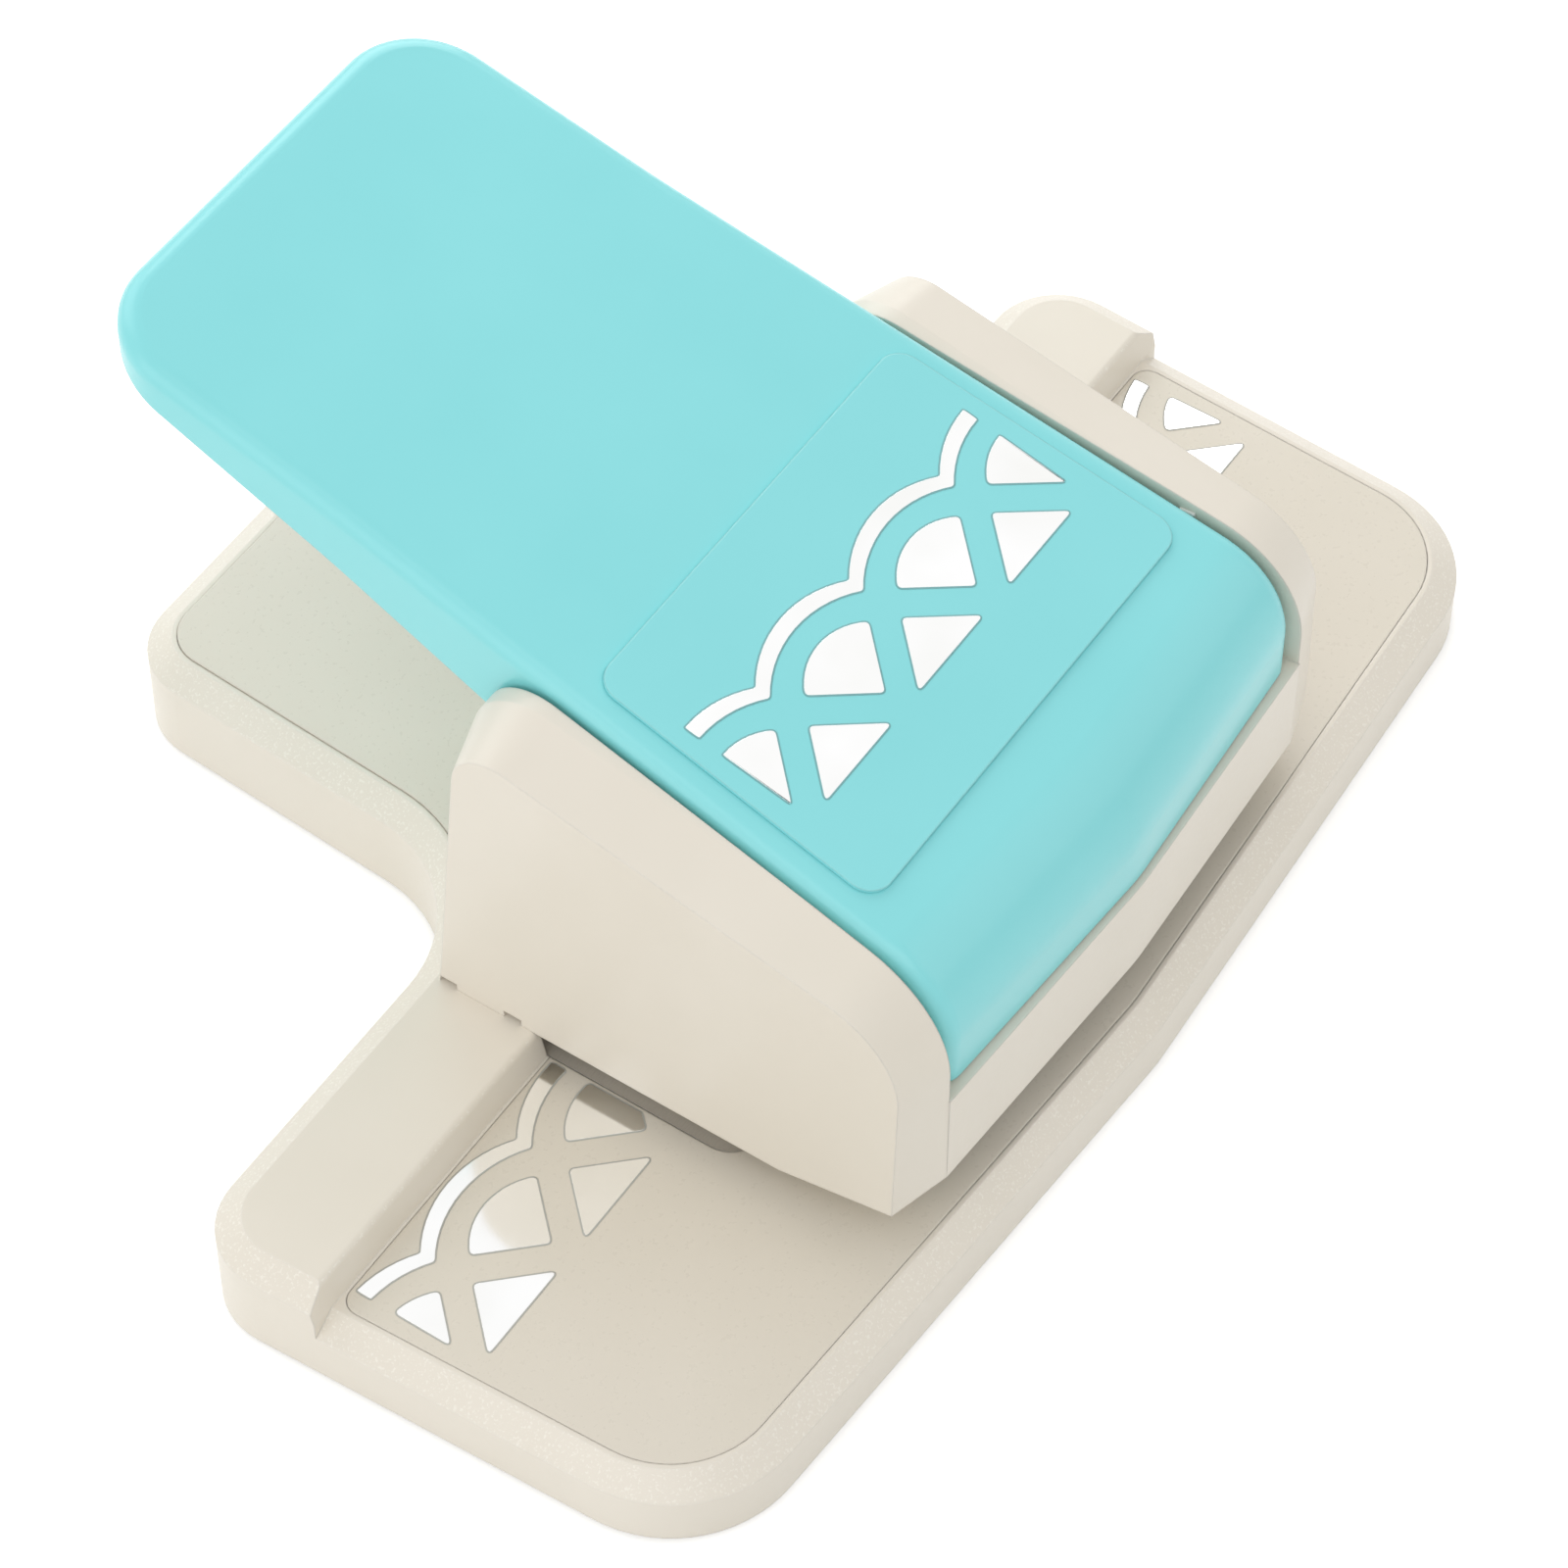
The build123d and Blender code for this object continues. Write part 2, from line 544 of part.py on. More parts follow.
with BuildPart() as guide_plate:
    with BuildSketch(Plane.XY.offset(guide_z)):
        with Locations((0, plunger_front)):
            guide_depth = well_rear - WELL_GAP - plunger_front
            Rectangle(GUIDE_WIDTH, guide_depth, align=(Align.CENTER, Align.MIN))
        add(pattern.sketch, mode=Mode.SUBTRACT)
        with Locations(guide_screw_spots):
            Circle(SCREW_R, mode=Mode.SUBTRACT)
        with Locations(post_spots):
            Circle(POST_R, mode=Mode.SUBTRACT)
    extrude(amount=GUIDE_PLATE)

with BuildPart() as guide_screws:
    with BuildSketch(Plane.XY.offset(cover_top)):
        with Locations(guide_screw_spots):
            Circle(SCREW_R)
    extrude(amount=guide_top - cover_top)
    with BuildSketch(Plane.XY.offset(guide_top)):
        with Locations(guide_screw_spots):
            Circle(SCREW_HEAD_R)
    extrude(amount=GUIDE_SCREW_HEAD)
    with BuildSketch(Plane.XY.offset(guide_top + GUIDE_SCREW_HEAD)):
        with Locations(guide_screw_spots):
            RegularPolygon(SCREW_R, 6)
    extrude(amount=-GUIDE_SCREW_HEAD / 2, mode=Mode.SUBTRACT)

with BuildPart() as die_screws:
    with BuildSketch(Plane.XY.offset(cover_top)):
        with Locations(die_screw_spots):
            Circle(SCREW_R)
    extrude(amount=die_top - cover_top)
    with BuildSketch(Plane.XY.offset(die_top - SCREW_HEAD)):
        with Locations(die_screw_spots):
            Circle(SCREW_HEAD_R)
    extrude(amount=SCREW_HEAD)
    with BuildSketch(Plane.XY.offset(die_top)):
        with Locations(die_screw_spots):
            RegularPolygon(SCREW_R, 6)
    extrude(amount=-SCREW_HEAD / 2, mode=Mode.SUBTRACT)

with BuildPart() as guide_posts:
    with BuildSketch(Plane.XY.offset(guide_z)):
        with Locations(post_spots):
            Circle(POST_R)
    extrude(amount=plunger_top + POST_ABOVE - guide_z)
    chamfer(guide_posts.faces().group_by(Axis.Z)[-1].edges(), POST_GROOVE)
    with BuildSketch(Plane.XY.offset(clip_z)):
        with Locations(post_spots):
            Circle(POST_R)
            Circle(POST_R - POST_GROOVE, mode=Mode.SUBTRACT)
    extrude(amount=CLIP, mode=Mode.SUBTRACT)

with BuildPart() as post_clips:
    with BuildSketch(Plane.XY.offset(clip_z)):
        with Locations(post_spots):
            Circle(CLIP_R)
            Circle(POST_R - POST_GROOVE, mode=Mode.SUBTRACT)
            Rectangle(POST_R, CLIP_R, align=(Align.CENTER, Align.MAX), mode=Mode.SUBTRACT)
    extrude(amount=CLIP)

with BuildPart() as cover_screws:
    with BuildSketch(Plane.XY.offset(base_z)):
        with Locations(cover_screw_spots):
            Circle(SCREW_HEAD_R)
            RegularPolygon(SCREW_R, 6, mode=Mode.SUBTRACT)
    extrude(amount=SCREW_HEAD)
    with BuildSketch(Plane.XY.offset(base_z + SCREW_HEAD / 2)):
        with Locations(cover_screw_spots):
            Circle(SCREW_HEAD_R)
    extrude(amount=SCREW_HEAD / 2)
    with BuildSketch(Plane.XY.offset(base_z + SCREW_HEAD)):
        with Locations(cover_screw_spots):
            Circle(SCREW_R)
    extrude(amount=low_ceiling - base_z - SCREW_HEAD)

# ------------------------------------------------------------------ punch and plunger
with BuildPart() as punch_head:
    with BuildSketch(Plane.XY.offset(head_z)):
        with Locations((0, pattern_mid)):
            Rectangle(pattern_width + 2 * HEAD_MARGIN, pattern_depth + 2 * HEAD_MARGIN)
    extrude(amount=HEAD)
    with BuildSketch(Plane.XY.offset(tip_z)):
        add(pattern.sketch)
        offset(amount=-CUT_CLEAR, mode=Mode.REPLACE)
    extrude(amount=head_z - tip_z)
    with BuildSketch(Plane.XY.offset(head_z + HEAD / 2)):
        with Locations((0, pattern_mid)):
            with GridLocations(2 * PUNCH_SCREW_X, PUNCH_SCREW_SPREAD, 2, 2):
                Circle(SCREW_R)
    extrude(amount=HEAD / 2, mode=Mode.SUBTRACT)

with BuildPart() as plunger_block:
    with BuildSketch(Plane.XY.offset(plunger_z)):
        with Locations((0, plunger_front)):
            Rectangle(PLUNGER_WIDTH, plunger_rear - plunger_front, align=(Align.CENTER, Align.MIN))
        with Locations(post_spots):
            Circle(POST_R + POST_GAP, mode=Mode.SUBTRACT)
        with Locations((0, pattern_mid)):
            with GridLocations(2 * PUNCH_SCREW_X, PUNCH_SCREW_SPREAD, 2, 2):
                Circle(SCREW_R, mode=Mode.SUBTRACT)
    extrude(amount=PLUNGER)
    with BuildSketch(Plane.XY.offset(plunger_top)):
        with Locations((0, pattern_mid)):
            with GridLocations(2 * PUNCH_SCREW_X, PUNCH_SCREW_SPREAD, 2, 2):
                Circle(SCREW_HEAD_R + HEAD_GAP)
    extrude(amount=-SCREW_HEAD, mode=Mode.SUBTRACT)
    chamfer(plunger_block.edges().filter_by(Axis.Z).filter_by(lambda edge: edge.length > PLUNGER - 0.1), 1.0)

with BuildPart() as punch_screws:
    with BuildSketch(Plane.XY.offset(head_z + HEAD / 2)):
        with Locations((0, pattern_mid)):
            with GridLocations(2 * PUNCH_SCREW_X, PUNCH_SCREW_SPREAD, 2, 2):
                Circle(SCREW_R)
    extrude(amount=plunger_top - head_z - HEAD / 2)
    with BuildSketch(Plane.XY.offset(plunger_top - SCREW_HEAD)):
        with Locations((0, pattern_mid)):
            with GridLocations(2 * PUNCH_SCREW_X, PUNCH_SCREW_SPREAD, 2, 2):
                Circle(SCREW_HEAD_R)
    extrude(amount=SCREW_HEAD)
    with BuildSketch(Plane.XY.offset(plunger_top)):
        with Locations((0, pattern_mid)):
            with GridLocations(2 * PUNCH_SCREW_X, PUNCH_SCREW_SPREAD, 2, 2):
                RegularPolygon(SCREW_R, 6)
    extrude(amount=-SCREW_HEAD / 2, mode=Mode.SUBTRACT)

with BuildPart() as wear_plate:
    with BuildSketch(Plane.XY.offset(plunger_top)):
        with Locations((0, roller_y)):
            RectangleRounded(WEAR_WIDTH, WEAR_DEPTH, 1.5)
    extrude(amount=WEAR_PLATE)

with BuildPart() as one_spring:
    spring_height = plunger_z - guide_top - 2 * SPRING_WIRE_R
    with BuildLine():
        coil = Helix(
            pitch=spring_height / SPRING_TURNS,
            height=spring_height,
            radius=SPRING_R,
            center=(0, 0, guide_top + SPRING_WIRE_R),
        )
    with BuildSketch(Plane(origin=coil @ 0, z_dir=coil % 0)):
        Circle(SPRING_WIRE_R)
    sweep()

with BuildPart() as return_springs:
    with Locations([Location((x, y, 0)) for x, y in post_spots]):
        add(one_spring.part)

# ------------------------------------------------------------------ housing
with BuildPart() as housing:
    with BuildSketch(Plane.YZ):
        with BuildLine():
            FilletPolyline(
                (cheek_rear, fence_z),
                (cheek_rear - HOUSING_LEAN, cheek_top),
                (cheek_front, cheek_front_top),
                (cheek_front, fence_z + MOUTH_FLARE),
                (cheek_front + MOUTH_RUN, fence_z),
                radius=[0, CHEEK_REAR_ROUND, CHEEK_NOSE_ROUND, 0, 0],
                close=True,
            )
        make_face()
    extrude(amount=HOUSING_WIDTH / 2, both=True)
    # the cheeks lean in
    with BuildSketch(Plane.XZ):
        lean = (cheek_top - fence_z) * math.tan(math.radians(HOUSING_DRAFT))
        with BuildLine():
            Polyline(
                (HOUSING_WIDTH / 2, fence_z),
                (HOUSING_WIDTH / 2 - lean, cheek_top),
                (lean - HOUSING_WIDTH / 2, cheek_top),
                (-HOUSING_WIDTH / 2, fence_z),
                close=True,
            )
        make_face()
    extrude(amount=BASE_DEPTH, both=True, mode=Mode.INTERSECT)
    # bevel along each cheek's outer edge, over the top and down the nose
    for side in (Axis.X, -Axis.X):
        flank = housing.faces().sort_by(side)[-1]
        ridge = flank.edges().filter_by(lambda edge: edge.center().Z > (fence_z + cheek_front_top) / 2)
        ridge = ridge.filter_by(lambda edge: abs(edge.tangent_at(0.5).Y) > 0.3)
        chamfer(ridge, CHEEK_BEVEL_DROP, CHEEK_BEVEL, reference=flank)
    # flats across the front corners, then the room for the lever between the cheeks
    with BuildSketch(Plane.XY.offset(fence_z)):
        add(housing_plan.sketch)
    extrude(amount=CHEEK_HEIGHT, mode=Mode.INTERSECT)
    with BuildSketch(Plane.XY.offset(fence_z)):
        with BuildLine():
            Polyline(
                (lever_half(cheek_front - FRONT_WALL, LEVER_GAP), cheek_front - FRONT_WALL),
                (lever_half(cheek_rear, LEVER_GAP), cheek_rear),
                (-lever_half(cheek_rear, LEVER_GAP), cheek_rear),
                (-lever_half(cheek_front - FRONT_WALL, LEVER_GAP), cheek_front - FRONT_WALL),
                close=True,
            )
        make_face()
    extrude(amount=CHEEK_HEIGHT, mode=Mode.SUBTRACT)
    # front wall, let into the cheeks behind their bevels
    with BuildSketch(Plane.XY.offset(fence_z + MOUTH_FLARE)):
        add(housing_plan.sketch)
        add(housing_plan.sketch.moved(Location((0, FRONT_WALL, 0))), mode=Mode.SUBTRACT)
        wall_end = HOUSING_WIDTH / 2 - CHEEK_BEVEL
        with Locations((0, cheek_front)):
            Rectangle(2 * wall_end, 3 * FRONT_WALL, mode=Mode.INTERSECT)
        with Locations((-wall_end, cheek_front + FRONT_WALL), (wall_end, cheek_front + FRONT_WALL)):
            Rectangle(2 * FRONT_WALL_LAP, FRONT_WALL / 2, align=(Align.CENTER, Align.MAX))
    extrude(amount=deck_z + FRONT_WALL_TOP - fence_z - MOUTH_FLARE)
    # rear wall with its foot
    with BuildSketch(Plane.YZ):
        rear_height = REAR_WALL_TOP - FENCE_HEIGHT
        rear_lean = HOUSING_LEAN * rear_height / CHEEK_HEIGHT
        with BuildLine():
            Polyline(
                (cheek_rear, fence_z),
                (cheek_rear - rear_lean, fence_z + rear_height),
                (cheek_rear - rear_lean - REAR_WALL, fence_z + rear_height),
                (cheek_rear - rear_lean - REAR_WALL, fence_z + HOUSING_FOOT),
                (foot_front, fence_z + HOUSING_FOOT),
                (foot_front, fence_z),
                close=True,
            )
        make_face()
    extrude(amount=lever_half(cheek_rear, LEVER_GAP) + 1, both=True)
    with BuildSketch(Plane.XY.offset(fence_z)):
        with Locations(housing_screw_spots):
            Circle(SCREW_R)
    extrude(amount=HOUSING_SCREW_BITE, mode=Mode.SUBTRACT)
    # hollow in each cheek, open below
    with BuildSketch(Plane.XY.offset(fence_z)):
        pocket_x = HOUSING_WIDTH / 2 - lean * POCKET_HEIGHT / CHEEK_HEIGHT - POCKET_SKIN - POCKET_WIDTH / 2
        pocket_rear = foot_front - REAR_WALL
        pocket_front = cheek_front + MOUTH_RUN + REAR_WALL
        with Locations((pocket_x, pocket_rear), (-pocket_x, pocket_rear)):
            Rectangle(POCKET_WIDTH, pocket_rear - pocket_front, align=(Align.CENTER, Align.MAX))
    extrude(amount=POCKET_HEIGHT, mode=Mode.SUBTRACT)
    # two small notches under each cheek
    with BuildSketch(Plane.XY.offset(fence_z)):
        notch_y = cheek_rear - CHEEK_BEVEL_DROP - SEAT_NOTCH / 2
        for x in (-HOUSING_WIDTH / 2, HOUSING_WIDTH / 2):
            with Locations((x, notch_y), (x, notch_y - SEAT_NOTCH_PITCH)):
                Rectangle(2 * POCKET_SKIN, SEAT_NOTCH)
    extrude(amount=SEAT_NOTCH_HEIGHT, mode=Mode.SUBTRACT)
    # seats of the hinge pin and of the side pads
    with BuildSketch(Plane.YZ):
        with Locations((hinge_y, hinge_z)):
            Circle(HINGE_R)
    extrude(amount=pin_half, both=True, mode=Mode.SUBTRACT)
    with BuildSketch(Plane.XY.offset(pad_top - PAD_HEIGHT)):
        add(pad_shape.sketch)
    extrude(amount=PAD_HEIGHT, mode=Mode.SUBTRACT)

with BuildPart() as side_pads:
    with BuildSketch(Plane.XY.offset(pad_top - PAD_HEIGHT)):
        add(pad_shape.sketch)
    extrude(amount=PAD_HEIGHT)

with BuildPart() as housing_screws:
    with BuildSketch(Plane.XY.offset(cover_top)):
        with Locations(housing_screw_spots):
            Circle(SCREW_HEAD_R)
            RegularPolygon(SCREW_R, 6, mode=Mode.SUBTRACT)
    extrude(amount=SCREW_HEAD / 2)
    with BuildSketch(Plane.XY.offset(cover_top + SCREW_HEAD / 2)):
        with Locations(housing_screw_spots):
            Circle(SCREW_HEAD_R)
    extrude(amount=SCREW_HEAD / 2)
    with BuildSketch(Plane.XY.offset(cover_top + SCREW_HEAD)):
        with Locations(housing_screw_spots):
            Circle(SCREW_R)
    extrude(amount=fence_z + HOUSING_SCREW_BITE - cover_top - SCREW_HEAD)

with BuildPart() as hinge_pin:
    with BuildSketch(Plane.YZ):
        with Locations((hinge_y, hinge_z)):
            Circle(HINGE_R)
    extrude(amount=pin_half, both=True)
    chamfer(hinge_pin.edges(), PIN_CHAMFER)

# ------------------------------------------------------------------ lever
with BuildPart() as lever_core:
    with BuildSketch():
        add(lever_plan.sketch)
        offset(amount=-LEVER_WALL, mode=Mode.REPLACE)
    extrude(amount=lever_tip_z)
    with BuildSketch(Plane.YZ):
        with BuildLine():
            drop = LEVER_WALL / math.cos(tilt)
            FilletPolyline(
                (nose_y + LEVER_WALL, 0),
                (nose_y + LEVER_WALL, lever_top_z(nose_y + LEVER_WALL) - drop),
                (lever_tip, lever_top_z(lever_tip) - drop),
                (lever_tip, 0),
                radius=[0, LEVER_NOSE - LEVER_WALL, 0, 0],
                close=True,
            )
        make_face()
    extrude(amount=LEVER_FRONT_WIDTH, both=True, mode=Mode.INTERSECT)

with BuildPart() as lever_shell:
    with BuildSketch():
        add(lever_plan.sketch)
    extrude(amount=lever_tip_z)
    with BuildSketch(Plane.YZ):
        knee_y = nose_y + SKIRT_KNEE
        with BuildLine():
            Polyline(
                (nose_y - 1, skirt_z),
                (nose_y - 1, lever_top_z(nose_y - 1)),
                (lever_tip + 1, lever_top_z(lever_tip + 1)),
                (lever_tip + 1, skirt_z + (lever_tip + 1 - knee_y) * math.tan(math.radians(SKIRT_SLOPE))),
                (knee_y, skirt_z),
                close=True,
            )
        make_face()
    extrude(amount=LEVER_FRONT_WIDTH, both=True, mode=Mode.INTERSECT)
    crown = lever_shell.faces().filter_by(lambda face: face.normal_at().Z > 0.9)[0]
    fillet(crown.edges().sort_by(Axis.Y)[:3], LEVER_NOSE)
    crown = lever_shell.faces().filter_by(lambda face: face.normal_at().Z > 0.9).sort_by(SortBy.AREA)[-1]
    fillet(crown.edges().sort_by(Axis.Y)[-1], LEVER_EDGE)
    add(lever_core.part, mode=Mode.SUBTRACT)
    # ribs and screw bosses under the top
    for spot in RIB_SPOTS:
        with BuildSketch(lever_plane.offset(-LEVER_WALL)):
            with Locations((0, spot)):
                Rectangle(2 * lever_half(hinge_y + spot * math.cos(tilt)) - 2 * LEVER_EDGE, RIB)
        extrude(amount=-RIB_DEPTH)
    with BuildSketch(lever_plane.offset(-LEVER_WALL)):
        with Locations(frame_screw_spots):
            Circle(BOSS_R)
    extrude(amount=LEVER_WALL - FRAME_DROP)
    with BuildSketch(lever_plane.offset(-FRAME_DROP)):
        with Locations(frame_screw_spots):
            Circle(SCREW_R)
    extrude(amount=FRAME_DROP - LEVER_WALL, mode=Mode.SUBTRACT)
    # eyes for the hinge pin and the seat of the label
    with BuildSketch(Plane.YZ):
        with Locations((hinge_y, hinge_z)):
            Circle(HINGE_R + PIN_GAP)
    extrude(amount=LEVER_FRONT_WIDTH, both=True, mode=Mode.SUBTRACT)
    with BuildSketch(lever_plane):
        add(label_shape.sketch)
    extrude(amount=-LABEL_SUNK, mode=Mode.SUBTRACT)

with BuildPart() as label_plate:
    with BuildSketch(lever_plane.offset(-LABEL_SUNK)):
        add(label_shape.sketch)
    extrude(amount=LABEL_SUNK + LABEL_PROUD)

with BuildPart() as lever_frame:
    with BuildSketch(lever_plane.offset(-FRAME_DROP)):
        with Locations((0, FRAME_FRONT)):
            Rectangle(FRAME_WIDTH, FRAME_REAR - FRAME_FRONT, align=(Align.CENTER, Align.MIN))
        with Locations(frame_screw_spots):
            Circle(SCREW_R, mode=Mode.SUBTRACT)
    extrude(amount=-FRAME_SHEET)
    with BuildSketch(Plane.YZ.offset(FRAME_WIDTH / 2 - FRAME_SHEET)):
        frame_end = hinge_y + FRAME_REAR * math.cos(tilt)
        sheet_drop = FRAME_DROP / math.cos(tilt)
        with Locations((hinge_y, hinge_z)):
            Circle(FRAME_EYE)
        with BuildLine():
            Polyline(
                (hinge_y, lever_top_z(hinge_y) - sheet_drop),
                (frame_end, lever_top_z(frame_end) - sheet_drop),
                (frame_end, plunger_top + FRAME_REAR_CLEAR),
                (hinge_y + 2 * FRAME_EYE, plunger_top + FRAME_CLEAR),
                (hinge_y, hinge_z - FRAME_EYE),
                close=True,
            )
        make_face()
        with Locations((hinge_y, hinge_z)):
            Circle(HINGE_R + PIN_GAP, mode=Mode.SUBTRACT)
        with Locations((roller_y, roller_z)):
            Circle(ROLLER_PIN_R, mode=Mode.SUBTRACT)
    extrude(amount=FRAME_SHEET)
    mirror(about=Plane.YZ)

with BuildPart() as frame_screws:
    with BuildSketch(lever_plane.offset(-FRAME_DROP - FRAME_SHEET)):
        with Locations(frame_screw_spots):
            Circle(SCREW_R)
    extrude(amount=FRAME_SHEET + FRAME_DROP - LEVER_WALL)
    with BuildSketch(lever_plane.offset(-FRAME_DROP - FRAME_SHEET)):
        with Locations(frame_screw_spots):
            Circle(SCREW_HEAD_R)
    extrude(amount=-GUIDE_SCREW_HEAD)

with BuildPart() as roller_pin:
    with BuildSketch(Plane.YZ):
        with Locations((roller_y, roller_z)):
            Circle(ROLLER_PIN_R)
    extrude(amount=FRAME_WIDTH / 2 + PIN_CHAMFER, both=True)
    chamfer(roller_pin.edges(), PIN_CHAMFER)

with BuildPart() as press_roller:
    with BuildSketch(Plane.YZ):
        with Locations((roller_y, roller_z)):
            Circle(ROLLER_R)
            Circle(ROLLER_PIN_R + PIN_GAP, mode=Mode.SUBTRACT)
    extrude(amount=ROLLER_WIDTH / 2, both=True)

# ------------------------------------------------------------------ files
os.makedirs("parts", exist_ok=True)

base_shell.part.label = "base_shell"
export_step(base_shell.part, "parts/base_shell.step")
bottom_cover.part.label = "bottom_cover"
export_step(bottom_cover.part, "parts/bottom_cover.step")
rubber_feet.part.label = "rubber_feet"
export_step(rubber_feet.part, "parts/rubber_feet.step")
cover_screws.part.label = "cover_screws"
export_step(cover_screws.part, "parts/cover_screws.step")
deck_plate.part.label = "deck_plate"
export_step(deck_plate.part, "parts/deck_plate.step")
tail_plate.part.label = "tail_plate"
export_step(tail_plate.part, "parts/tail_plate.step")
die_plate.part.label = "die_plate"
export_step(die_plate.part, "parts/die_plate.step")
fence_bar.part.label = "fence_bar"
export_step(fence_bar.part, "parts/fence_bar.step")
guide_plate.part.label = "guide_plate"
export_step(guide_plate.part, "parts/guide_plate.step")
guide_screws.part.label = "guide_screws"
export_step(guide_screws.part, "parts/guide_screws.step")
die_screws.part.label = "die_screws"
export_step(die_screws.part, "parts/die_screws.step")
guide_posts.part.label = "guide_posts"
export_step(guide_posts.part, "parts/guide_posts.step")
post_clips.part.label = "post_clips"
export_step(post_clips.part, "parts/post_clips.step")
return_springs.part.label = "return_springs"
export_step(return_springs.part, "parts/return_springs.step")
punch_head.part.label = "punch_head"
export_step(punch_head.part, "parts/punch_head.step")
plunger_block.part.label = "plunger_block"
export_step(plunger_block.part, "parts/plunger_block.step")
punch_screws.part.label = "punch_screws"
export_step(punch_screws.part, "parts/punch_screws.step")
wear_plate.part.label = "wear_plate"
export_step(wear_plate.part, "parts/wear_plate.step")
housing.part.label = "housing"
export_step(housing.part, "parts/housing.step")
housing_screws.part.label = "housing_screws"
export_step(housing_screws.part, "parts/housing_screws.step")
side_pads.part.label = "side_pads"
export_step(side_pads.part, "parts/side_pads.step")
hinge_pin.part.label = "hinge_pin"
export_step(hinge_pin.part, "parts/hinge_pin.step")
lever_shell.part.label = "lever_shell"
export_step(lever_shell.part, "parts/lever_shell.step")
label_plate.part.label = "label_plate"
export_step(label_plate.part, "parts/label_plate.step")
lever_frame.part.label = "lever_frame"
export_step(lever_frame.part, "parts/lever_frame.step")
frame_screws.part.label = "frame_screws"
export_step(frame_screws.part, "parts/frame_screws.step")
roller_pin.part.label = "roller_pin"
export_step(roller_pin.part, "parts/roller_pin.step")
press_roller.part.label = "press_roller"
export_step(press_roller.part, "parts/press_roller.step")
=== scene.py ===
import json
import math

import bpy
from mathutils import Matrix, Vector


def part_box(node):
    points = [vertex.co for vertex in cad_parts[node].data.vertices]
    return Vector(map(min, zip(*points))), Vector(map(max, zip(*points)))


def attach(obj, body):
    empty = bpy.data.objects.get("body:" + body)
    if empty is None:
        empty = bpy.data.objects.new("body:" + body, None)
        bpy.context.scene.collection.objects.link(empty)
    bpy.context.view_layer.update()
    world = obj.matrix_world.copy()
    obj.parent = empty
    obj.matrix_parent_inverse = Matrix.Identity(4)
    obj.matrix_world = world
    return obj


# The looks of a lever-operated border punch: procedural finishes on every CAD node, the foil
# pattern printed on the lever's label and on the deck's wings, a soft white studio and a camera.

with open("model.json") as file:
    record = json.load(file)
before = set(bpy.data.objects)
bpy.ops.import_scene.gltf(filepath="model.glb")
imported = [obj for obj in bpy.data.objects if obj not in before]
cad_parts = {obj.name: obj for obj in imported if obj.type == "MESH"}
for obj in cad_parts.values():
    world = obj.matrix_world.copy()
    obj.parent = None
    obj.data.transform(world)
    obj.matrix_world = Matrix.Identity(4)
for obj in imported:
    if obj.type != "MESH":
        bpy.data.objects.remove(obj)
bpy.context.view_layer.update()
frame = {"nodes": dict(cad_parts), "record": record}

MM = 0.001

# ------------------------------------------------------------------ printed pattern, in mm
PITCH = 17.0              # repeat of the border
SCALLOP_RISE = 2.75
BAND = 1.75
FAN_HALF = 5.8
FAN_CORNER = 4.3
FAN_APEX = 10.3
TRI_HALF = 6.0
TRI_APEX = 6.65
TRI_BASE = 12.85
ROUND = 0.55              # corner radius of the printed shapes
ARC_STEPS = 14
FOIL = 0.07               # how far the foil stands proud
OUTLINE = 0.2             # width of the darker line round each shape
OUTLINE_PROUD = 0.03
LABEL_REACH = 25.6        # half the length of the pattern on the label
CUSP_BEHIND_FRONT = 47.2  # front of the base back to the deck pattern's cusp line
LABEL_AHEAD = 6.9         # deck's cusp line forward to the label's
CUTOUT_HALF = 41.0        # the deck's pattern starts beside the die's cutout
DECK_REACH = 75.3         # and ends this far from the middle
SUNK = 0.02               # how far printed pieces reach into the face below them
SAME_POINT = 1e-5         # points nearer than this are one
SHARP_TURN = 25           # degrees; corners that turn less are not rounded
CORNER_SHARE = 0.45       # most of a side, or of the band, that one rounding takes
CORNER_STEPS = 6
LEAST_WIDTH = 2.5         # narrower remains of a cut shape are left out

# ------------------------------------------------------------------ surfaces, in metres
EVEN = (1.0, 1.0, 1.0)    # noise that is not stretched along any axis
MOTTLE_SCALE = 38.0
PLASTIC_EDGE = 0.00035    # rounding that the shading gives to edges
METAL_EDGE = 0.00015
FOIL_EDGE = 0.00003
EDGE_LIKENESS = (0.90, 0.995)  # dot product of the two normals, from a full edge to none
PLASTIC_RELIEF = 0.00004
METAL_RELIEF = 0.00003
FOIL_RELIEF = 0.00002
PLASTIC_IOR = 1.49
METAL_EDGE_HIGHLIGHT = "F2F2F0"    # painted highlight on metal edges
# colour of the painted glints, white specks of painted highlight
PAINTED_GLINT_COLOR = "FBF8EE"
GLINT_SCALE = 3200.0
GLINT_MOST = 0.4
GLINT_NOISE = (0.56, 0.70)     # noise values between which a speck of painted glint appears
GLINT_STEEP = (0.5, 0.6)       # upward part of the normal where specks begin
GLINT_LEVEL = (0.88, 0.93)     # and where they end

# ------------------------------------------------------------------ camera and lights
CAMERA_AZIMUTH = -56.26
CAMERA_ELEVATION = 52.01
CAMERA_ROLL = 0.26
CAMERA_TARGET = (2.925, -9.681, 9.2)
CAMERA_DISTANCE = 618.4
CAMERA_LENS = 130.3
CAMERA_SENSOR = 36.0
CAMERA_SHIFT = (0.0019, 0.0020)
CAMERA_NEAR = 0.01        # metres
WORLD_LEVEL = 0.60
FLOOR_HALF = 4.0          # metres
FLOOR_GLOW = 0.35         # light that the floor adds towards the camera and in gloss


